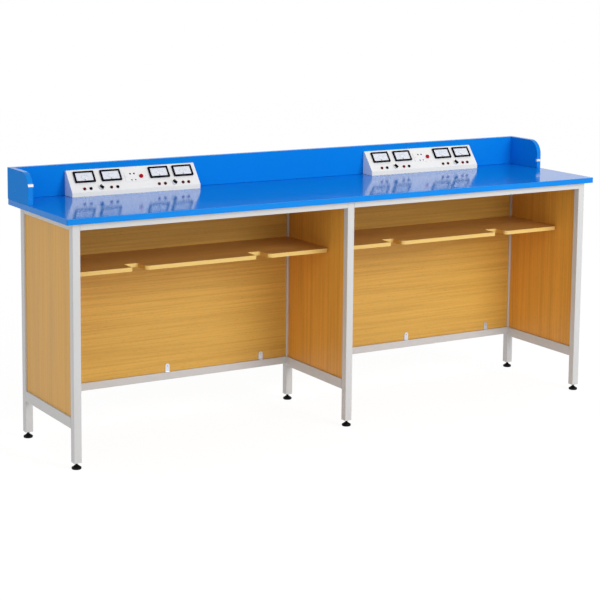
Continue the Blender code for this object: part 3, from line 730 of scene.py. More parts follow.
class Shape:
    """A mesh in the making. Its local points go through its place into the table's frame."""

    def __init__(self, place: Matrix = Matrix()) -> None:
        """Start with an empty mesh and no holes.

        Args:
            place: Where the local frame lies on the table.
        """
        self.mesh = bmesh.new()
        self.place = place
        self.holes: list[Shape] = []

    def at(self, place: Matrix) -> "Shape":
        """The shape itself, with its local frame moved to a new place."""
        self.place = place
        return self

    def row(self, outline: Outline, height: float) -> list[bmesh.types.BMVert]:
        """The vertices of an outline at a height."""
        return [self.mesh.verts.new(self.place @ Vector((x, y, height))) for x, y in outline]

    def loft(self, loops: Sequence[tuple[Outline, float]], ring: bool = False) -> "Shape":
        """Join outlines of as many points with faces.

        Args:
            loops: The outlines in order, each with its height.
            ring: True joins the last outline to the first, and False closes both ends with caps.

        Returns:
            The shape itself.
        """
        rows = [self.row(*loop) for loop in loops]
        for low, high in zip(rows, rows[1:] + (rows[:1] if ring else [])):
            for i in range(len(low)):
                j = (i + 1) % len(low)
                self.mesh.faces.new((low[i], low[j], high[j], high[i]))
        if not ring:
            self.mesh.faces.new(rows[0][::-1])
            self.mesh.faces.new(rows[-1])
        return self

    def slab(
        self,
        outline: Outline,
        low: float,
        high: float,
        rounding: Pair = (0.0, 0.0),
        steps: int = 3,
        inner: Outline | None = None,
    ) -> "Shape":
        """A plate from an outline, or a tube where it has an inner outline too.

        Args:
            outline: The closed outline, counter-clockwise.
            low: The lower height.
            high: The upper height.
            rounding: The rounding of the lower and of the upper edge.
            steps: The number of chords in a rounding.
            inner: The tube's inner outline of as many points.

        Returns:
            The shape itself.
        """
        loops = [(inset(outline, into), z) for into, z in edge_profile(low, high, rounding, steps)]
        return self.loft([*loops, (inner, high), (inner, low)], True) if inner else self.loft(loops)

    def block(self, low: Vector, high: Vector, rounding: float, steps: int = 3) -> "Shape":
        """A box with all its edges rounded.

        Args:
            low: Its lowest corner.
            high: Its highest corner.
            rounding: The rounding of the edges.
            steps: The number of chords in a rounding.

        Returns:
            The shape itself.
        """
        middle, size = (low + high) / 2, high - low
        self.place = Matrix.Translation((middle.x, middle.y, 0.0))
        # The upright edges are rounded a little more, so that the caps' corners don't shrink to points
        outline = rounded_rectangle(size.x, size.y, rounding * 1.05, steps)
        return self.slab(outline, low.z, high.z, (rounding, rounding), steps)

    def turned(self, profile: Outline, steps: int = 32, flutes: Flutes | None = None) -> "Shape":
        """A turned shape about local Z.

        Args:
            profile: Pairs of radius and height from the bottom to the top, traced round the solid.
            steps: The number of facets.
            flutes: The flutes round it.

        Returns:
            The shape itself.
        """
        closed = profile[0] == profile[-1]
        angles = [math.tau * k / steps for k in range(steps)]
        rows = []
        for radius, height in profile[:-1] if closed else profile:
            around = angles if radius > TINY else angles[:1]
            reach = [radius * (flutes.factor(a, height) if flutes else 1.0) for a in around]
            rows.append(self.row([(r * math.cos(a), r * math.sin(a)) for a, r in zip(around, reach)], height))
        for low, high in zip(rows, rows[1:] + (rows[:1] if closed else [])):
            for i in range(steps):
                j = (i + 1) % steps
                corners = (low[i % len(low)], low[j % len(low)], high[j % len(high)], high[i % len(high)])
                unique = list(dict.fromkeys(corners))
                if len(unique) > 2:
                    self.mesh.faces.new(unique)
        return self

    def zones(self, choose: Callable[[Vector], int]) -> "Shape":
        """Give each face the finish that a function of its normal chooses.

        Args:
            choose: A function of the normal that gives the index of a finish.

        Returns:
            The shape itself.
        """
        self.mesh.normal_update()
        for face in self.mesh.faces:
            face.material_index = choose(face.normal)
        return self

    def plain(self, name: str, *finishes: Finish) -> bpy.types.Mesh:
        """Close the mesh, and cut the holes out of it.

        Args:
            name: The name of the mesh.
            finishes: The finishes, in the order of the zones.

        Returns:
            The mesh.
        """
        bmesh.ops.recalc_face_normals(self.mesh, faces=self.mesh.faces)
        data = bpy.data.meshes.new(name)
        self.mesh.to_mesh(data)
        self.mesh.free()
        for finish in finishes:
            data.materials.append(material_of(finish))
        if not self.holes:
            return data
        whole = linked(name, data)
        cutters = [linked("hole", hole.plain("hole")) for hole in self.holes]
        for cutter in cutters:
            modifier = whole.modifiers.new("Cut", "BOOLEAN")
            modifier.operation = "DIFFERENCE"
            modifier.solver = "EXACT"
            modifier.object = cutter
        mesh = plain_mesh(name, whole)
        for cutter in cutters:
            bpy.data.objects.remove(cutter)
        return mesh

    def finish(self, name: str, *finishes: Finish, sharp: float = 40.0) -> bpy.types.Object:
        """Close the mesh and make its object.

        Args:
            name: The piece's name.
            finishes: The finishes, in the order of the zones.
            sharp: The angle in degrees above which an edge stays sharp.

        Returns:
            The object, linked to the scene.
        """
        return object_of(name, self.plain(name, *finishes), sharp)


# Patterns that repeat


class Pattern(Tree):
    """A Geometry Nodes tree for what repeats. It is run on points or edges and leaves a plain mesh."""

    def __init__(self, name: str, **kinds: str) -> None:
        """Make the tree with its inputs and its output.

        Args:
            name: The tree's name.
            kinds: The kind of socket of each named input, between the geometry and the finish.
        """
        super().__init__(bpy.data.node_groups.new(name, "GeometryNodeTree"))
        face = self.tree.interface
        face.new_socket("Geometry", in_out="OUTPUT", socket_type="NodeSocketGeometry")
        kinds = {"Geometry": "Geometry", **kinds, "Finish": "Material"}
        self.keys = {
            key: face.new_socket(key, in_out="INPUT", socket_type=f"NodeSocket{kind}").identifier
            for key, kind in kinds.items()
        }
        entry = self.tree.nodes.new("NodeGroupInput")
        *self.given, self.coating = [Wire(self, entry.outputs[key]) for key in kinds]

    def chance(self, low: Operand, high: Operand, seed: Wire) -> Wire:
        """A random number between two values."""
        return self.node("FunctionNodeRandomValue", {"data_type": "FLOAT"}, {2: low, 3: high, 8: seed}, 1)

    def close(self, geometry: Wire) -> None:
        """End the tree: instances become real, and the finish is set.

        Args:
            geometry: What the tree has made.
        """
        real = self.node("GeometryNodeRealizeInstances", None, {"Geometry": geometry})
        done = self.node("GeometryNodeSetMaterial", None, {"Geometry": real, "Material": self.coating})
        self.join(self.tree.nodes.new("NodeGroupOutput").inputs[0], done)

    def run(
        self,
        name: str,
        finish: Finish,
        points: Sequence[Sequence[float]] = ((0.0, 0.0, 0.0),),
        edges: Sequence[tuple[int, int]] = (),
        **values: Any,
    ) -> bpy.types.Mesh:
        """Run the tree.

        Args:
            name: The name of the mesh that it makes.
            finish: The finish of that mesh.
            points: The points that it runs on.
            edges: The edges between them.
            values: The value of each named input.

        Returns:
            The plain mesh.
        """
        seed = bpy.data.meshes.new(name)
        seed.from_pydata(points, edges, [])
        carrier = linked(name, seed)
        modifier = carrier.modifiers.new(name, "NODES")
        modifier.node_group = self.tree
        for key, value in (values | {"Finish": material_of(finish)}).items():
            modifier[self.keys[key]] = value
        mesh = plain_mesh(name, carrier)
        bpy.data.meshes.remove(seed)
        return all_in(finish, mesh)


class Scatter(Pattern):
    """Copies of one piece on points, all with the same tilt and each turned about its own axis by chance."""

    def __init__(self) -> None:
        """Build the tree."""
        super().__init__("scattered_pieces", Piece="Object", Tilt="Rotation", Turn="Float", Seed="Int")
        points, piece, tilt, most, seed = self.given
        copied = self.node("GeometryNodeObjectInfo", None, {"Object": piece}, "Geometry")
        copies = {"Points": points, "Instance": copied, "Rotation": tilt}
        placed = self.node("GeometryNodeInstanceOnPoints", None, copies)
        spin = self.vector(z=self.chance(0.0, most, seed))
        turn = {"Instances": placed, "Rotation": spin, "Local Space": True}
        self.close(self.node("GeometryNodeRotateInstances", None, turn))

    def put(
        self,
        name: str,
        thing: bpy.types.Object,
        places: Sequence[Matrix],
        finish: Finish,
        turn: float,
        seed: int,
    ) -> bpy.types.Object:
        """Put copies of a piece on places that all have the same tilt.

        Args:
            name: The name of the new piece.
            thing: The piece to copy, about its own origin.
            places: The frames of the copies.
            finish: The finish.
            turn: The most that a copy turns about its own axis, in radians.
            seed: The seed of the turns.

        Returns:
            The new piece.
        """
        points = [place.translation[:] for place in places]
        tilt = tuple(places[0].to_euler())
        return object_of(name, self.run(name, finish, points, Piece=thing, Tilt=tilt, Turn=turn, Seed=seed))


class DialTicks(Pattern):
    """The lines of a scale, set along an arc about the needle's pivot."""

    def __init__(self) -> None:
        """Build the tree."""
        super().__init__("dial_ticks", Count="Int", Sweep="Float", Radius="Float", Size="Vector")
        _, count, sweep, radius, size = self.given
        angle = sweep * (0.5 - self.node("GeometryNodeInputIndex") / (count - 1.0))
        spot = self.vector(self.math("SINE", angle) * (radius * -1.0), self.math("COSINE", angle) * radius)
        points = self.node("GeometryNodePoints", None, {"Count": count})
        placed = self.node("GeometryNodeSetPosition", None, {"Geometry": points, "Position": spot})
        line = self.node("GeometryNodeMeshCube", None, {"Size": size})
        turn = self.node("FunctionNodeEulerToRotation", None, {0: self.vector(z=angle)})
        lines = {"Points": placed, "Instance": line, "Rotation": turn}
        self.close(self.node("GeometryNodeInstanceOnPoints", None, lines))


class WeldBeads(Pattern):
    """A weld seam: overlapping beads of slightly uneven size along a path."""

    def __init__(self) -> None:
        """Build the tree."""
        super().__init__("weld_beads", Spacing="Float", Bead="Float", Unevenness="Float", Seed="Int")
        loops, spacing, radius, uneven, seed = self.given
        path = self.node("GeometryNodeMeshToCurve", None, {0: loops})
        evenly = {"Curve": path, "Length": spacing}
        spaced = self.node("GeometryNodeResampleCurve", {"mode": "LENGTH"}, evenly)
        bead = self.node("GeometryNodeMeshUVSphere", None, {"Segments": 6, "Rings": 4, "Radius": radius})
        beads = {"Points": spaced, "Instance": bead, "Scale": self.chance(1.0 - uneven, 1.0 + uneven, seed)}
        self.close(self.node("GeometryNodeInstanceOnPoints", None, beads))


class Thread(Pattern):
    """A screw thread: a core with a ridge that winds up it."""

    def __init__(self) -> None:
        """Build the tree."""
        super().__init__("screw_thread", Radius="Float", Pitch="Float", Length="Float", Depth="Float")
        _, radius, pitch, length, depth = self.given
        root = radius - depth
        winding = {"Resolution": 20, "Rotations": length / pitch, "Height": length}
        winding |= {"Start Radius": root, "End Radius": root}
        wound = self.node("GeometryNodeCurveSpiral", None, winding)
        ridge = self.node("GeometryNodeCurvePrimitiveCircle", None, {"Resolution": 4, "Radius": depth})
        sweep = {"Curve": wound, "Profile Curve": ridge, "Fill Caps": True}
        wire = self.node("GeometryNodeCurveToMesh", None, sweep)
        both = self.node("GeometryNodeJoinGeometry", None, {0: wire})
        core = self.node("GeometryNodeMeshCylinder", None, {"Vertices": 24, "Radius": root, "Depth": length})
        raised = {"Geometry": core, "Translation": self.vector(z=length * 0.5)}
        self.join(both.socket.node.inputs[0], self.node("GeometryNodeTransform", None, raised))
        self.close(both)


# Sub-assemblies


@dataclass
class Worktop:
    """The blue top: a laminated board with a thick band round its edge and a backing sheet below."""

    band: float = 0.002
    seam: float = 0.0002
    corner: float = 0.006
    edge: float = 0.0015

    def build(self) -> None:
        """Build the board and its band."""
        low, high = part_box("worktop")
        width, depth, _ = high - low
        inside = 2 * (self.band + self.seam)
        board = rounded_rectangle(width - inside, depth - inside, self.corner - self.band)
        core = Shape().slab(board, low.z, high.z, (FINE_EDGE, FINE_EDGE))
        core.zones(lambda normal: 0 if normal.z > FACING else 1 if normal.z < -FACING else 2)
        fit(core.finish("worktop_board", BLUE, BACKING, CHIPBOARD), Slot.BLUE, "worktop")
        outer = rounded_rectangle(width, depth, self.corner)
        strip = Shape().slab(outer, low.z, high.z, (self.edge, self.edge), 4, inset(outer, self.band))
        fit(strip.finish("worktop_edge_band", BLUE_BAND), Slot.BLUE)


@dataclass
class Upstand:
    """The backboard, the two cheeks with their rounded corners, and the angle clips on the cheeks."""

    corner: float = 0.060
    edge: float = 0.001
    clip_centres: Pair = (0.074, 0.034)
    clip_height: float = 0.010
    clip_thickness: float = 0.0012
    clip_reach: float = 0.006
    clip_corners: Triple = (0.0008, 0.0004, 0.0002)

    def build(self) -> None:
        """Build the boards and the clips."""
        back = Shape().block(*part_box("backboard"), self.edge)
        back.zones(lambda normal: 1 if abs(normal.y) < FACING else 0)
        fit(back.finish("backboard_panel", BLUE_UPRIGHT, BLUE_BAND), Slot.BLUE, "backboard")
        for side, inward, centre in zip(BAYS, (1, -1), self.clip_centres):
            self.build_cheek(side)
            self.build_clip(side, inward, centre)

    def build_cheek(self, side: str) -> None:
        """Build the board at one end.

        Args:
            side: The end's name.
        """
        low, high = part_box(f"{side}_cheek")
        curve = arc(low.y + self.corner, high.z - self.corner, self.corner, 90, 180, 24)
        outline = [(low.y, low.z), (high.y, low.z), (high.y, high.z), *curve]
        cheek = Shape(FROM_END).slab(outline, low.x, high.x, (self.edge, self.edge))
        cheek.zones(lambda normal: 1 if abs(normal.x) < FACING else 0)
        piece = cheek.finish(f"{side}_cheek_panel", BLUE_UPRIGHT, BLUE_BAND, sharp=30.0)
        fit(piece, Slot.BLUE, f"{side}_cheek")

    def build_clip(self, side: str, inward: int, centre: float) -> None:
        """Build the angle clip on a cheek's front edge, leaning where that edge is curved.

        Args:
            side: The end's name.
            inward: 1 where the table lies to the right of the cheek, and -1 where it lies to the left.
            centre: The clip's middle above the cheek's foot.
        """
        low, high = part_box(f"{side}_cheek")
        half, thick = (high.x - low.x) / 2, self.clip_thickness
        inner, proud = half + GAP, thick + GAP
        end = proud + self.clip_reach
        outside, tip, inside = self.clip_corners
        plan = [(-half, 0.0, tip), (inner + thick, 0.0, outside), (inner + thick, end, tip)]
        plan += [(inner, end, tip), (inner, thick, inside), (-half, thick, tip)]
        outline = [(inward * x, y) for x, y in softened(plan, 3)][::inward]
        straight = (high.z - low.z) - self.corner
        lean = math.asin(max(0.0, centre - straight) / self.corner)
        y = low.y + self.corner * (1 - math.cos(lean)) - proud * math.cos(lean)
        z = low.z + centre + proud * math.sin(lean)
        place = Matrix.Translation(((low.x + high.x) / 2, y, z)) @ Matrix.Rotation(-lean, 4, "X")
        tall = self.clip_height / 2
        clip = Shape(place).slab(outline, -tall, tall, (FINE_EDGE, FINE_EDGE), 2)
        fit(clip.finish(f"{side}_cheek_angle_clip", WHITE), Slot.WHITE, f"{side}_cheek_clip")


@dataclass
class SteelFrame:
    """The welded frame of square tube: legs with their inserts, rails, and the weld seams between them."""

    wall: float = 0.0015
    corner: float = 0.0022
    insert_length: float = 0.025
    insert_edge: float = 0.0006
    insert_recess: float = 0.0004
    insert_play: float = 0.0001
    bore: float = 0.0053
    bead: float = 0.0011
    bead_spacing: float = 0.0022
    bead_unevenness: float = 0.18
    bead_seed: int = 7
    weld_overlap: float = 0.0004

    def tube(self, width: float, height: float, low: float, high: float, place: Matrix) -> Shape:
        """A rectangular tube along local Z.

        Args:
            width: Its size along local X.
            height: Its size along local Y.
            low: Its start.
            high: Its end.
            place: Where the local frame lies on the table.

        Returns:
            The shape.
        """
        outer = rounded_rectangle(width, height, self.corner, 4)
        inner = rounded_rectangle(width - 2 * self.wall, height - 2 * self.wall, self.corner - self.wall, 4)
        return Shape(place).slab(outer, low, high, (FINE_EDGE, FINE_EDGE), 1, inner)

    def build(self) -> None:
        """Build the legs, the rails and the welds."""
        for side in SIDES:
            for row in ROWS:
                self.build_leg(f"{row}_{side}_leg")
        across = [f"{side}_{level}_rail" for side in SIDES for level in ("top", "bottom")]
        along = [f"{kind}_rail_{bay}" for bay in BAYS for kind in ("front_top", "back_top", "back_bottom")]
        seams = [seam for node in across for seam in self.build_rail(node, FROM_FRONT)]
        seams += [seam for node in along for seam in self.build_rail(node, FROM_END)]
        self.build_welds(seams)

    def build_leg(self, node: str) -> None:
        """Build one leg and the insert in its foot.

        Args:
            node: The solid model's leg.
        """
        low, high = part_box(node)
        place = Matrix.Translation(((low.x + high.x) / 2, (low.y + high.y) / 2, 0.0))
        leg = self.tube(high.x - low.x, high.y - low.y, low.z, high.z, place)
        fit(leg.finish(f"{node}_tube", STEEL), Slot.GREY, node)
        side = high.x - low.x - 2 * self.wall - self.insert_play
        outer = rounded_rectangle(side, side, self.corner - self.wall, 5)
        bore = [tuple(Vector(point).normalized() * self.bore) for point in outer]
        foot, top = low.z + self.insert_recess, low.z + self.insert_length
        plug = Shape(place).slab(outer, foot, top, (self.insert_edge, 0.0), 2, bore)
        fit(plug.finish(f"{node}_insert", NYLON), Slot.GREY)

    def build_rail(self, node: str, turn: Matrix) -> list[list[Vector]]:
        """Build one rail.

        Args:
            node: The solid model's rail.
            turn: The rotation that lays local Z along the rail and local Y upright.

        Returns:
            The two loops in which it meets the legs.
        """
        low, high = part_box(node)
        size = high - low
        width, length = (size.y, size.x) if turn is FROM_END else (size.x, size.y)
        place = Matrix.Translation((low + high) / 2) @ turn
        half = length / 2 + GAP
        rail = self.tube(width, size.z, -half, half, place)
        fit(rail.finish(f"{node}_tube", STEEL), Slot.GREY, node)
        outline = rounded_rectangle(width - 2 * GAP, size.z - 2 * GAP, self.corner, 2)
        reach = half - self.weld_overlap
        return [[place @ Vector((x, y, end)) for x, y in outline] for end in (-reach, reach)]

    def build_welds(self, seams: Sequence[Sequence[Vector]]) -> None:
        """Build the weld seams round the ends of the rails.

        Args:
            seams: The loops that the seams follow.
        """
        points: list[Triple] = []
        edges: list[tuple[int, int]] = []
        for loop in seams:
            start = len(points)
            points += [tuple(point) for point in loop]
            edges += [(start + i, start + (i + 1) % len(loop)) for i in range(len(loop))]
        values = {"Spacing": self.bead_spacing, "Bead": self.bead, "Unevenness": self.bead_unevenness}
        name = "frame_weld_seams"
        mesh = WeldBeads().run(name, STEEL, points, edges, **values, Seed=self.bead_seed)
        fit(object_of(name, mesh, sharp=80.0), Slot.GREY)


@dataclass
class LevellingFeet:
    """Six feet: a black pad with a spanner hexagon and a black threaded stud that turns into the leg."""

    pad: float = 0.018
    rim: Pair = (0.0025, 0.0058)
    sole: tuple[Pair, Pair] = ((0.0020, 0.0), (0.0010, 0.0006))
    wide: float = 0.0032
    dome: tuple[Pair, ...] = ((0.0135, 0.0098), (0.0108, 0.0114), (0.0, 0.0114))
    hexagon: float = 0.017
    hexagon_foot: float = 0.0080
    hexagon_top: float = 0.014
    hexagon_edge: float = 0.0007
    stud: float = 0.005
    stud_top: float = 0.062
    stud_sunk: float = 0.0005
    pitch: float = 0.0015
    thread_depth: float = 0.0006

    def build(self) -> None:
        """Build the feet."""
        thread = Thread()
        for side in SIDES:
            for row in ROWS:
                self.build_foot(f"{row}_{side}_foot", thread)

    def build_foot(self, node: str, thread: Thread) -> None:
        """Build one foot on its own body.

        Args:
            node: The solid model's foot, which has its body's name.
            thread: The pattern of the stud.
        """
        low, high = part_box(node)
        place = Matrix.Translation(((low.x + high.x) / 2, (low.y + high.y) / 2, low.z))
        radius, height = self.rim
        profile = [(0.0, 0.0), *[(self.pad - inwards, z) for inwards, z in self.sole], (self.pad, self.wide)]
        profile += arc(self.pad - radius, height, radius, 0, 80, 5) + list(self.dome)
        nut = arc(0.0, 0.0, self.hexagon / math.sqrt(3), 0, 300, 5)
        pad = Shape(place).turned(profile, 48)
        pad.slab(nut, self.hexagon_foot, self.hexagon_top, (0.0, self.hexagon_edge), 2)
        fit(pad.finish(f"{node}_pad", NYLON, sharp=35.0), Slot.NYLON, node, body=node)
        name, length = f"{node}_stud", self.stud_top - self.hexagon_top
        values = {"Radius": self.stud, "Pitch": self.pitch, "Length": length, "Depth": self.thread_depth}
        mesh = thread.run(name, NYLON, **values)
        mesh.transform(place @ Matrix.Translation((0.0, 0.0, self.hexagon_top - self.stud_sunk)))
        fit(object_of(name, mesh, 50.0), Slot.NYLON, body=node)


@dataclass
class Boards:
    """The beech boards: three at the sides, two at the rear, and the two notched shelves."""

    edge: float = 0.0008
    notches: Pair = (0.868, 0.340)
    notch_depth: float = 0.070
    notch_width: float = 0.056
    inner_corner: float = 0.012
    outer_corner: float = 0.022
    end_corner: float = 0.014
    recess: float = 0.007
    # With more than this part of its normal to the left, a shelf's face takes the painted shade
    shade_facing: float = 0.85
    leg_centres: Pair = (0.0, 1.155)

    def build(self) -> None:
        """Build the boards."""
        # Outer board: paler copy, painted open light; inner boards: redder copy, painted warm bounce light
        for side, finish in zip(SIDES, (BEECH_OPEN_LIGHT, BEECH_WARM_SHADE, BEECH_WARM_SHADE)):
            self.build_board(f"{side}_side_panel", finish)
        for bay, leg in zip(BAYS, self.leg_centres):
            self.build_board(f"{bay}_back_panel", BEECH_BACK)
            self.build_shelf(f"{bay}_shelf", leg)

    def build_board(self, node: str, finish: Beech) -> None:
        """Build a rectangular board of a finish in the place of a solid."""
        board = Shape().block(*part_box(node), self.edge, 2)
        fit(board.finish(f"{node}_board", finish), Slot.BEECH, node)

    def build_shelf(self, node: str, leg: float) -> None:
        """Build a shelf with its notches.

        Args:
            node: The solid model's shelf.
            leg: The middle of the leg at the bay's right side.
        """
        low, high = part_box(node)
        inner, outer, end = self.inner_corner, self.outer_corner, self.end_corner
        deep, step = low.y + self.notch_depth, high.y - self.recess
        outline: Outline = [(low.x, low.y)]
        for offset in self.notches:
            left = leg - offset
            right = left + self.notch_width
            outline += [(left, low.y), (left, deep)]
            outline += arc(right - inner, deep - inner, inner, 90, 0, 10)
            outline += arc(right + outer, low.y + outer, outer, 180, 270, 6)
        outline += arc(high.x - end, low.y + end, end, 270, 360, 8)
        outline += [(high.x, step), (high.x - self.recess, step), (high.x - self.recess, high.y)]
        outline += [(low.x + self.recess, high.y), (low.x + self.recess, step), (low.x, step)]
        shelf = Shape().slab(outline, low.z, high.z, (self.edge, self.edge), 2)
        # Painted shade on the top, bottom and left-facing faces; the other edges partly painted light
        shelf.zones(lambda normal: 0 if abs(normal.z) > SQUARE else 2 if normal.x < -self.shade_facing else 1)
        piece = shelf.finish(f"{node}_board", BEECH_SHELF_SHADED, BEECH_EDGE_LIT, BEECH_SIDE_SHADED, sharp=30.0)
        fit(piece, Slot.BEECH, node)


@dataclass
class PanelClips:
    """Zinc-plated angle clips on the rear bottom rails, each with an open screw hole against the board."""

    width: float = 0.019
    height: float = 0.034
    thickness: float = 0.002
    edge: float = 0.0004
    hole: float = 0.0025
    hole_drop: float = 0.010
    hole_spare: float = 0.001
    toe_edge: float = 0.0003

    def build(self) -> None:
        """Build the clips."""
        for bay in BAYS:
            for number in (1, 2):
                self.build_clip(f"{bay}_panel_clip_{number}")

    def build_clip(self, node: str) -> None:
        """Build one clip.

        Args:
            node: The solid model's clip.
        """
        low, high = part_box(node)
        half, thick = self.width / 2, self.thickness
        place = Matrix.Translation(((low.x + high.x) / 2, high.y, low.z)) @ FROM_FRONT
        outline = [(-half, 0.0), (half, 0.0), *arc(0.0, self.height - half, half, 0, 180, 24)]
        plate = Shape(place).slab(outline, 0.0, thick, (FINE_EDGE, self.edge), 2)
        middle = place @ Matrix.Translation((0.0, self.height - self.hole_drop, 0.0))
        drill = rod(self.hole, -self.hole_spare, thick + self.hole_spare)
        plate.holes.append(Shape(middle).turned(drill, 28))
        fit(plate.finish(f"{node}_angle", ZINC, sharp=30.0), Slot.ZINC, node)
        toe = Shape().block(low, Vector((high.x, high.y - thick, low.z + thick)), self.toe_edge, 2)
        fit(toe.finish(f"{node}_toe", ZINC), Slot.ZINC)


@dataclass
class Meter:
    """A panel meter: a black frame, a dial card with its scale, a needle on its hub, and a clear window."""

    numbers: Sequence[str]
    unit: str
    ticks: DialTicks
    width: float = 0.084
    height: float = 0.049
    proud: float = 0.007
    rim: float = 0.0065
    pocket: float = 0.004
    corners: Pair = (0.0022, 0.0016)
    edges: Pair = (0.0004, 0.0012)
    bezel: tuple[Pair, ...] = ((0.0013, 0.0), (0.0010, 0.0004), (0.0, 0.0016))
    barrel: Pair = (0.016, 0.012)
    barrel_edge: float = 0.0005
    window: Pair = (0.0026, 0.0018)
    play: float = 0.00005
    hub: Pair = (0.0025, 0.0018)
    hub_edge: float = 0.0006
    pivot_rise: float = 0.0043
    needle: float = 0.0185
    needle_halves: Pair = (0.00025, 0.0001)
    needle_levels: Pair = (0.0008, 0.0012)
    angle: float = math.radians(50)
    scale_radius: float = 0.0190
    scale_half: float = 0.00015
    fine_tick: Pair = (0.0016, 0.00022)
    number_tick: Pair = (0.0027, 0.00036)
    steps_between: int = 5
    ink: float = 0.00002
    number_size: float = 0.0029
    number_reach: float = 0.0045
    number_drop: float = 0.0009
    unit_size: float = 0.0050
    unit_spot: Pair = (0.0038, 0.0080)

    def build(self, node: str, place: Matrix) -> None:
        """Build one meter.

        Args:
            node: The solid model's meter.
            place: The frame at the meter's middle, with local Z out of the face.
        """
        top = GAP + self.proud
        dial = top - self.pocket
        opening = (self.width - 2 * self.rim, self.height - 2 * self.rim)
        outer = rounded_rectangle(self.width, self.height, self.corners[0])
        inner = rounded_rectangle(*opening, self.corners[1])
        behind = inset(inner, self.play)
        loops = [(inset(outer, into), z) for into, z in edge_profile(GAP, top, self.edges, 3)]
        loops += [(inset(inner, -wider), top - down) for wider, down in self.bezel]
        case = Shape(place).loft([*loops, (inner, GAP)], True)
        radius, depth = self.barrel
        bevel = self.barrel_edge
        barrel = [(0.0, -depth), (radius - bevel, -depth), (radius, bevel - depth), (radius, dial / 2)]
        fit(case.turned([*barrel, (0.0, dial / 2)], 40).finish(f"{node}_case", BLACK), Slot.BLACK, node)
        fit(Shape(place).slab(behind, dial / 2, dial).finish(f"{node}_dial", DIAL), Slot.BLACK)
        pivot = place @ Matrix.Translation((0.0, self.pivot_rise - opening[1] / 2, dial))
        printed = self.scale.copy()
        printed.transform(pivot)
        fit(object_of(f"{node}_scale", printed), Slot.BLACK)
        wide, narrow = self.needle_halves
        blade = [(wide, 0.0), (narrow, self.needle), (-narrow, self.needle), (-wide, 0.0)]
        pointer = Shape(pivot @ Matrix.Rotation(self.angle, 4, "Z")).slab(blade, *self.needle_levels)
        radius, crown = self.hub
        hub = [(0.0, 0.0), (radius, 0.0), (radius, crown - self.hub_edge), (radius - self.hub_edge, crown)]
        pointer.at(pivot).turned([*hub, (0.0, crown)], 28)
        fit(pointer.finish(f"{node}_needle", NEEDLE), Slot.BLACK)
        low, high = (top - down for down in self.window)
        fit(Shape(place).slab(behind, low, high).finish(f"{node}_window", WINDOW), Slot.BLACK)

    @cached_property
    def scale(self) -> bpy.types.Mesh:
        """The printed scale, made once: two sizes of tick, the arc, the numbers and the unit.

        Returns:
            Its mesh about the needle's pivot.
        """
        sweep, gaps = 2 * self.angle, len(self.numbers) - 1
        sizes = ((gaps * self.steps_between + 1, self.fine_tick), (gaps + 1, self.number_tick))
        parts = []
        for count, (length, width) in sizes:
            values = {"Count": count, "Sweep": sweep, "Radius": self.scale_radius + length / 2}
            parts.append(self.ticks.run("ticks", INK, **values, Size=(width, length, 3 * self.ink)))
        start, end = 90 - math.degrees(self.angle), 90 + math.degrees(self.angle)
        outside = arc(0.0, 0.0, self.scale_radius + self.scale_half, start, end, 40)
        inside = arc(0.0, 0.0, self.scale_radius - self.scale_half, end, start, 40)
        parts.append(Shape().slab(outside + inside, 0.0, 2 * self.ink).plain("scale_arc", INK))
        radius = self.scale_radius + self.number_reach
        for i, number in enumerate(self.numbers):
            angle = self.angle - sweep * i / gaps
            spot = (-math.sin(angle) * radius, math.cos(angle) * radius - self.number_drop)
            parts.append(self.lettering(number, self.number_size, spot))
        parts.append(self.lettering(self.unit, self.unit_size, self.unit_spot))
        return joined("printed_scale", parts, INK)

    def lettering(self, text: str, size: float, spot: Pair) -> bpy.types.Mesh:
        """Flat letters as a mesh.

        Args:
            text: The letters.
            size: Their height.
            spot: The middle of their base line.

        Returns:
            The mesh.
        """
        curve = bpy.data.curves.new("letters", "FONT")
        curve.body = text
        curve.size = size
        curve.align_x = "CENTER"
        curve.extrude = self.ink
        curve.resolution_u = 3
        mesh = plain_mesh("letters", linked("letters", curve))
        mesh.transform(Matrix.Translation((*spot, self.ink)))
        return mesh


def joined(name: str, parts: Sequence[bpy.types.Mesh], finish: Finish) -> bpy.types.Mesh:
    """One mesh from several, all in one finish.

    Args:
        name: The new mesh's name.
        parts: The meshes, which are removed.
        finish: The finish.

    Returns:
        The mesh.
    """
    shape = bmesh.new()
    for part in parts:
        shape.from_mesh(part)
        bpy.data.meshes.remove(part)
    bmesh.ops.remove_doubles(shape, verts=shape.verts, dist=1e-6)
    bmesh.ops.recalc_face_normals(shape, faces=shape.faces)
    data = bpy.data.meshes.new(name)
    shape.to_mesh(data)
    shape.free()
    return all_in(finish, data)


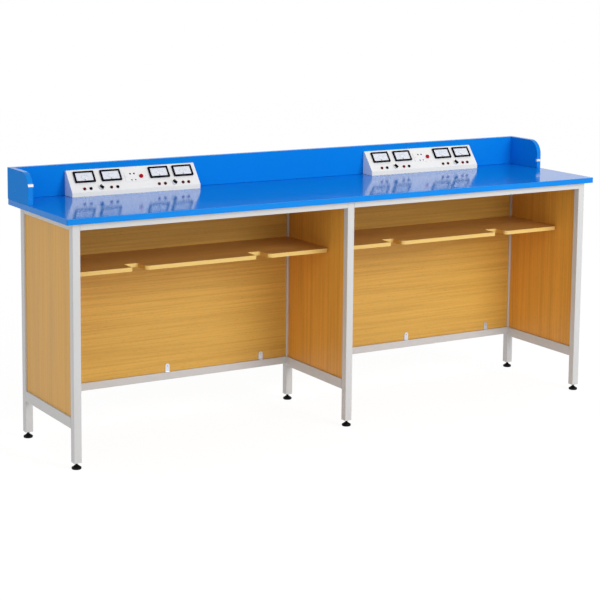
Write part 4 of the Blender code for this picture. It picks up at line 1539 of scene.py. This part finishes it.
@dataclass
class Terminals:
    """Terminals: fluted caps over round collars, with a plated socket in each."""

    up: float = 0.0135
    reds: tuple[float, ...] = (0.055, 0.1675, 0.3725, 0.399, 0.477, 0.5015)
    blacks: tuple[float, ...] = (0.0815, 0.194)
    bore: float = 0.0022
    collar: float = 0.0062
    collar_levels: Triple = (0.0001, 0.0019, 0.0025)
    grip: float = 0.0048
    grip_levels: Triple = (0.0026, 0.0030, 0.0050)
    bevel: float = 0.0005
    lip: float = 0.0002
    flutes: Flutes = Flutes(15, 0.035, 0.0029, 0.0046)
    pin: float = 0.0017
    sleeve_levels: Triple = (-0.008, -0.0060, 0.0006)
    turn: float = 0.4
    seed: int = 5

    def build(self, console: "Console") -> None:
        """Build the terminals of a console.

        Args:
            console: The console that carries them.
        """
        bore, collar, grip, bevel, lip = self.bore, self.collar, self.grip, self.bevel, self.lip
        foot, side, top = self.collar_levels
        profile = [(bore, foot), (collar, foot), (collar, side), (collar - bevel, top)]
        cap = Shape().turned([*profile, (bore, top), (bore, foot)])
        foot, side, top = self.grip_levels
        profile = [(bore, foot), (grip - lip, foot), (grip, side), (grip, top - bevel), (grip - bevel, top)]
        cap.turned([*profile, (bore + lip, top), (bore, top - lip), (bore, foot)], 60, self.flutes)
        thing = cap.finish("terminal_cap", RED, sharp=35.0)
        foot, floor, top = self.sleeve_levels
        lining = [(0.0, floor), (self.pin, floor), (self.pin, top), (bore, top), (bore, foot), (0.0, foot)]
        sleeve = Shape().turned(lining, 24).finish("terminal_sleeve", NICKEL, sharp=35.0)
        for name, copied, spots, finish, slot in (
            ("red_terminals", thing, self.reds, RED, Slot.RED),
            ("black_terminals", thing, self.blacks, BLACK, Slot.BLACK),
            ("terminal_sleeves", sleeve, self.reds + self.blacks, NICKEL, Slot.ZINC),
        ):
            places = [console.at(across, self.up) for across in spots]
            name = f"{console.bay}_{name}"
            fit(console.scatter.put(name, copied, places, finish, self.turn, self.seed), slot)
        bpy.data.objects.remove(thing)
        bpy.data.objects.remove(sleeve)


@dataclass
class ScrewHead:
    """A pan head with a cross recess, about its own origin, facing local Z."""

    radius: float = 0.0022
    height: float = 0.0006
    brim: float = 0.35
    dome_angles: tuple[float, ...] = (0.0, 0.4, 0.8, 1.2)
    recess: Triple = (1.15, 0.26, 0.12)
    recess_floor: float = 0.45

    def build(self) -> bpy.types.Object:
        """Build the head.

        Returns:
            The head, to be copied and then removed.
        """
        radius, height, brim = self.radius, self.height, self.brim
        dome = [(radius * math.cos(a), height * (brim + (1 - brim) * math.sin(a))) for a in self.dome_angles]
        head = Shape().turned([(0.0, 0.0), (radius, 0.0), *dome, (0.0, height)], 20)
        groove = rounded_rectangle(*[radius * share for share in self.recess], 2)
        for turn in (0.0, math.pi / 2):
            slot = Shape(Matrix.Rotation(turn, 4, "Z"))
            head.holes.append(slot.slab(groove, height * self.recess_floor, height * 2))
        return head.finish("screw_head", ZINC, sharp=30.0)


@dataclass
class SocketPlate:
    """A moulded plate over a contact block, with four lined pin holes, a button's guide and two screws."""

    size: Triple = (0.097, 0.044, 0.004)
    thickness: float = 0.0012
    edge: float = 0.0010
    block: Triple = (0.076, 0.040, 0.0006)
    block_back: float = -0.010
    pin_middle: float = -0.0145
    pin_step: float = 0.00825
    pin_rows: tuple[Pair, Pair] = ((0.014, 0.0037), (-0.014, 0.0029))
    pin_floor: float = -0.009
    pin_bevel: Pair = (0.0004, 0.0003)
    lining_levels: Triple = (-0.0088, -0.0075, -0.0007)
    lining_radii: Pair = (0.0001, 0.0009)
    guide: float = 0.0083
    guide_levels: Pair = (-0.014, 0.006)
    rim_radii: tuple[float, ...] = (0.0084, 0.0095, 0.0092, 0.0086)
    rim_levels: Triple = (-0.0002, 0.0002, 0.0005)
    screw_reach: float = 0.041
    seed: int = 11

    def build(self, console: "Console") -> None:
        """Build the plate of a console.

        Args:
            console: The console that carries it.
        """
        place = console.at(*console.socket)
        guide = place @ Matrix.Translation((console.button, 0.0, 0.0))
        top = GAP + self.thickness
        outer, block = rounded_rectangle(*self.size, 6), rounded_rectangle(*self.block, 6)
        loops = [(block, self.block_back), (block, GAP)]
        loops += [(inset(outer, into), z) for into, z in edge_profile(GAP, top, (0.0, self.edge), 3)]
        plate = Shape(place).loft(loops)
        # The pin holes' linings are black as painted shade that keeps the holes dark
        shaded_linings = Shape()
        foot, floor, rim = self.lining_levels
        wider, half = self.pin_bevel
        for row, radius in self.pin_rows:
            for column in (-1, 1):
                spot = place @ Matrix.Translation((self.pin_middle + self.pin_step * column, row, 0.0))
                well = [(0.0, self.pin_floor), (radius, self.pin_floor), (radius, top - half)]
                well += [(radius + wider, top + half), (0.0, top + half)]
                plate.holes.append(Shape(spot).turned(well, 28))
                wide, narrow = (radius - less for less in self.lining_radii)
                lining = [(0.0, foot), (wide, foot), (wide, top + rim), (narrow, top + rim), (narrow, floor)]
                shaded_linings.at(spot).turned([*lining, (0.0, floor)], 20)
        plate.holes.append(Shape(guide).turned(rod(self.guide, *self.guide_levels), 40))
        piece = plate.finish(f"{console.bay}_socket_plate_moulding", ENAMEL, sharp=30.0)
        fit(piece, Slot.WHITE, f"{console.bay}_socket_plate")
        inner, side, shoulder, crest = self.rim_radii
        low, high, crown = (top + level for level in self.rim_levels)
        ring = [(inner, low), (side, low), (side, high), (shoulder, crown), (crest, crown), (inner, low)]
        fit(Shape(guide).turned(ring, 48).finish(f"{console.bay}_button_rim", ENAMEL), Slot.WHITE)
        # Black linings: painted shade in the pin holes
        fit(shaded_linings.finish(f"{console.bay}_socket_contacts", BLACK), Slot.ZINC)
        head = ScrewHead().build()
        places = [place @ Matrix.Translation((side * self.screw_reach, 0.0, top)) for side in (-1, 1)]
        name = f"{console.bay}_socket_screws"
        screws = console.scatter.put(name, head, places, ZINC, math.tau, self.seed)
        bpy.data.objects.remove(head)
        fit(screws, Slot.ZINC)


@dataclass
class PushButton:
    """A push button, whose flange keeps it in its guide."""

    crown: float = 0.0075
    cap: float = 0.0080
    cap_edge: float = 0.0016
    cap_rise: float = 0.0020
    hollow: Pair = (0.0035, 0.0001)
    flange: float = 0.0105
    flange_level: float = -0.010
    flange_height: float = 0.002

    def build(self, node: str, place: Matrix) -> None:
        """Build the button.

        Args:
            node: The solid model's button, which has its body's name.
            place: The frame at the button's middle, with local Z out of the face.
        """
        crown = GAP + self.crown
        high = self.flange_level - GAP
        low = high - self.flange_height
        profile = [(0.0, low), (self.flange, low), (self.flange, high), (self.cap, high)]
        profile += arc(self.cap - self.cap_edge, crown - self.cap_rise, self.cap_edge, 0, 78, 6)
        profile += [(self.hollow[0], crown - self.hollow[1]), (0.0, crown)]
        button = Shape(place).turned(profile, 48)
        fit(button.finish(f"{node}_cap", RED_BUTTON, sharp=35.0), Slot.RED, node, body=node)


@dataclass
class Knob:
    """A bar knob with its pale skirt and its pointer line, on its shaft."""

    wall: float = 0.0015
    rest: float = math.radians(35)
    skirt: tuple[Pair, ...] = ((0.0095, 0.0007), (0.0095, 0.0026), (0.0086, 0.0038), (0.0, 0.0040))
    skirt_foot: float = 0.0093
    flutes: Flutes = Flutes(24, 0.0105, -1.0, 0.003)
    bar: Triple = (0.0065, 0.0185, 0.0026)
    bar_levels: Pair = (0.0036, 0.0140)
    bar_edge: float = 0.0012
    shaft: float = 0.003
    shaft_end: float = -0.009
    washer: float = 0.005
    line: Triple = (0.0010, 0.0055, 0.0004)
    line_levels: Pair = (0.01385, 0.01412)
    line_ahead: float = 0.0052

    def build(self, node: str, place: Matrix) -> None:
        """Build the knob.

        Args:
            node: The solid model's knob, which has its body's name.
            place: The frame at the knob's middle, with local Z out of the face.
        """
        spin = place @ Matrix.Rotation(self.rest, 4, "Z")
        ahead = spin @ Matrix.Translation((0.0, self.line_ahead, 0.0))
        skirt = Shape(spin).turned([(0.0, GAP), (self.skirt_foot, GAP), *self.skirt], 72, self.flutes)
        bar = Shape(spin).slab(rounded_rectangle(*self.bar, 6), *self.bar_levels, (0.0, self.bar_edge), 4)
        inside = -self.wall - GAP
        low = inside - self.wall
        profile = [(0.0, self.shaft_end), (self.shaft, self.shaft_end), (self.shaft, low), (self.washer, low)]
        profile += [(self.washer, inside), (self.shaft, inside), (self.shaft, GAP), (0.0, GAP)]
        shaft = Shape(spin).turned(profile, 24)
        line = Shape(ahead).slab(rounded_rectangle(*self.line, 3), *self.line_levels)
        fit(skirt.finish(f"{node}_skirt", IVORY, sharp=35.0), Slot.WHITE, node, body=node)
        fit(bar.finish(f"{node}_grip", BLACK, sharp=35.0), Slot.BLACK, body=node)
        fit(shaft.finish(f"{node}_shaft", ZINC), Slot.ZINC, body=node)
        fit(line.finish(f"{node}_pointer_line", WHITE), Slot.WHITE, body=node)


@dataclass
class Console:
    """An instrument console: a folded housing with meters, terminals, a socket plate, a button and knobs."""

    bay: str
    scatter: Scatter
    meters: Sequence[Meter]
    width: float = 0.550
    depth: float = 0.070
    height: float = 0.096
    strip: float = 0.018
    ledge: float = 0.008
    wall: float = 0.0015
    fold: float = 0.0022
    end_edge: float = 0.0010
    hollow_foot: float = -0.004
    front: float = 0.1897
    base: float = 0.9203
    meter_up: float = 0.0655
    meters_across: tuple[float, ...] = (0.067, 0.178, 0.385, 0.489)
    meter_hole: float = 0.0163
    knob_up: float = 0.0145
    knobs_across: Pair = (0.125, 0.4395)
    knob_hole: float = 0.0034
    socket: Pair = (0.2845, 0.053)
    socket_hole: Triple = (0.077, 0.041, 0.001)
    button: float = 0.0205
    cut_reach: float = 0.005

    @cached_property
    def left(self) -> float:
        """The place of the console's left end."""
        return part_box(f"{self.bay}_console_housing")[0].x

    def at(self, across: float, up: float) -> Matrix:
        """The frame at a point of the sloping face, with local Z out of the face.

        Args:
            across: The point's distance from the left end.
            up: Its distance up the slope.

        Returns:
            The frame.
        """
        tilt = math.atan2(self.height - self.strip, self.depth - self.ledge)
        corner = Matrix.Translation((self.left, self.front, self.base + self.strip))
        return corner @ Matrix.Rotation(tilt, 4, "X") @ Matrix.Translation((across, up, 0.0))

    def section(self, into: float, foot: float, fold: float) -> Outline:
        """The side outline of the housing.

        Args:
            into: How far inside the outer face it lies.
            foot: The height of its lower end.
            fold: The radius of its folds.

        Returns:
            The outline in the table's Y and Z.
        """
        corners = [(0.0, 0.0), (self.depth, 0.0), (self.depth, self.height)]
        corners = inset([*corners, (self.depth - self.ledge, self.height), (0.0, self.strip)], into)
        corners[:2] = [(y, foot) for y, _ in corners[:2]]
        radii = (0.0, 0.0, fold, fold, fold)
        rounded = softened([(*corner, radius) for corner, radius in zip(corners, radii)], 5)
        return [(self.front + y, self.base + z) for y, z in rounded]

    def build(self) -> None:
        """Build the housing, then what it carries."""
        self.build_housing()
        for number, (across, meter) in enumerate(zip(self.meters_across, self.meters), start=1):
            meter.build(f"{self.bay}_meter_{number}", self.at(across, self.meter_up))
        Terminals().build(self)
        SocketPlate().build(self)
        across, up = self.socket
        PushButton().build(f"{self.bay}_push_button", self.at(across + self.button, up))
        for number, across in enumerate(self.knobs_across, start=1):
            Knob(self.wall).build(f"{self.bay}_knob_{number}", self.at(across, self.knob_up))

    def build_housing(self) -> None:
        """Build the folded shell with its holes."""
        left, right = self.left, self.left + self.width
        outside = self.section(0.0, 0.0, self.fold)
        shell = Shape(FROM_END).slab(outside, left, right, (self.end_edge, self.end_edge))
        hollow = self.section(self.wall, self.hollow_foot, self.fold - self.wall)
        shell.holes.append(Shape(FROM_END).slab(hollow, left + self.wall, right - self.wall))
        holes = [(across, self.meter_up, self.meter_hole) for across in self.meters_across]
        holes += [(across, self.knob_up, self.knob_hole) for across in self.knobs_across]
        for across, up, radius in holes:
            drill = rod(radius, -self.cut_reach, self.cut_reach)
            shell.holes.append(Shape(self.at(across, up)).turned(drill))
        window = Shape(self.at(*self.socket))
        opening = rounded_rectangle(*self.socket_hole, 2)
        shell.holes.append(window.slab(opening, -self.cut_reach, self.cut_reach))
        # The front strip and the upward faces take the warmer copy of the enamel as painted light
        shell.zones(lambda normal: 1 if normal.y < -SQUARE or normal.z > SQUARE else 0)
        piece = shell.finish(f"{self.bay}_console_shell", ENAMEL, ENAMEL_WARM_LIT, sharp=30.0)
        fit(piece, Slot.ENAMEL, f"{self.bay}_console_housing")


# Studio


@dataclass(frozen=True)
class PhotoCamera:
    """The camera that took the photograph, as fitted to the table's corners."""

    spot: Triple = (-3.57033, -5.79243, 1.89040)
    yaw: float = 0.54251
    pitch: float = -0.13736
    roll: float = 0.00991
    focal: float = 1717.23
    centre: float = 180.0
    image: float = 600.0
    sensor: float = 36.0

    def build(self) -> None:
        """Make the camera and set it as the scene's."""
        level = math.cos(self.pitch)
        ahead = Vector((math.sin(self.yaw) * level, math.cos(self.yaw) * level, math.sin(self.pitch)))
        right = Vector((math.cos(self.yaw), -math.sin(self.yaw), 0.0))
        up = right.cross(ahead)
        across = right * math.cos(self.roll) + up * math.sin(self.roll)
        upright = up * math.cos(self.roll) - right * math.sin(self.roll)
        data = bpy.data.cameras.new("photo_camera")
        data.sensor_width = self.sensor
        data.lens = self.focal / self.image * self.sensor
        data.shift_y = (self.centre - self.image / 2) / self.image
        camera = linked("photo_camera", data)
        turn = Matrix((across, upright, -ahead)).transposed()
        camera.matrix_world = Matrix.Translation(self.spot) @ turn.to_4x4()
        bpy.context.scene.camera = camera


@dataclass(frozen=True)
class Lamp:
    """A soft area lamp that looks at a point."""

    name: str
    spot: Triple
    power: float
    target: Triple = (0.0, 0.0, 0.6)
    size: float = 3.0

    def build(self) -> None:
        """Make the lamp."""
        data = bpy.data.lights.new(self.name, "AREA")
        data.shape = "DISK"
        data.size = self.size
        data.energy = self.power
        lamp = linked(self.name, data)
        lamp.location = self.spot
        lamp.rotation_mode = "QUATERNION"
        lamp.rotation_quaternion = (Vector(self.target) - Vector(self.spot)).to_track_quat("-Z", "Y")


@dataclass(frozen=True)
class Studio:
    """A pale floor, an even white surround and soft lamps from the front."""

    white: Colour = (1.0, 1.0, 1.0)
    ambient: float = 0.62
    floor_share: float = 0.85
    floor_glow: float = 1.07
    floor_tones: tuple[Colour, Colour] = ((0.86, 0.86, 0.86), (0.90, 0.90, 0.90))
    floor_corners: tuple[Pair, ...] = ((-9.0, -8.0), (9.0, -8.0), (9.0, 12.0), (-9.0, 12.0))
    floor_thickness: float = 0.01
    lamps: tuple[Lamp, ...] = (
        Lamp("key_lamp", (1.8, -5.2, 3.0), 160.0),
        Lamp("fill_lamp", (-4.5, -3.5, 2.4), 22.0),
    )

    def build(self) -> None:
        """Make the world, the floor and the lamps."""
        self.build_world()
        self.build_floor()
        for lamp in self.lamps:
            lamp.build()
        bpy.context.scene.view_settings.view_transform = "Standard"

    def build_world(self) -> None:
        """Make a world that is white where it is seen or mirrored, and lights at a plain level."""
        world = bpy.data.worlds.new("studio_surround")
        world.use_nodes = True
        world.node_tree.nodes.clear()
        tree = Tree(world.node_tree)
        light, seen = (
            tree.node("ShaderNodeBackground", None, {"Color": self.white, "Strength": strength})
            for strength in (self.ambient, 1.0)
        )
        mixed = tree.node("ShaderNodeMixShader", None, {0: tree.background_rays(), 1: light, 2: seen})
        tree.join(world.node_tree.nodes.new("ShaderNodeOutputWorld").inputs[0], mixed)
        bpy.context.scene.world = world

    def build_floor(self) -> None:
        """Make the floor: nearly white to the eye, with the table's soft shadow on it."""
        graph = Graph("pale_floor")
        cloud = graph.noise(graph.place(), 1.5, 3.0)
        graph.shade(Base_Color=graph.blend(cloud, *self.floor_tones), Roughness=0.9)
        glow = graph.node("ShaderNodeEmission", None, {"Strength": self.floor_glow})
        lit = Wire(graph, graph.shader.outputs[0])
        share = graph.background_rays() * self.floor_share
        mixed = graph.node("ShaderNodeMixShader", None, {0: share, 1: lit, 2: glow})
        graph.join(graph.tree.nodes["Material Output"].inputs["Surface"], mixed)
        floor = Shape().slab(list(self.floor_corners), -self.floor_thickness, 0.0).plain("studio_floor")
        floor.materials.append(graph.material)
        object_of("studio_floor", floor)


def main() -> None:
    """Build every sub-assembly in order, then the studio, and report the pieces."""
    logging.basicConfig(level=logging.INFO, format="%(name)s: %(message)s")
    PhotoCamera().build()
    for assembly in (Worktop(), Upstand(), SteelFrame(), LevellingFeet(), Boards(), PanelClips()):
        assembly.build()
    scatter, ticks = Scatter(), DialTicks()
    volts = Meter(("0", "3", "6", "9", "12", "15"), "V", ticks)
    amps = Meter(("0", "1", "2", "3", "4", "5"), "A", ticks)
    for bay in BAYS:
        Console(bay, scatter, (volts, amps, volts, amps)).build()
    Studio().build()
    LOG.info("%d pieces stand for %d solids", len(PLACED), len(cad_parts))


if __name__ == "__main__":
    main()
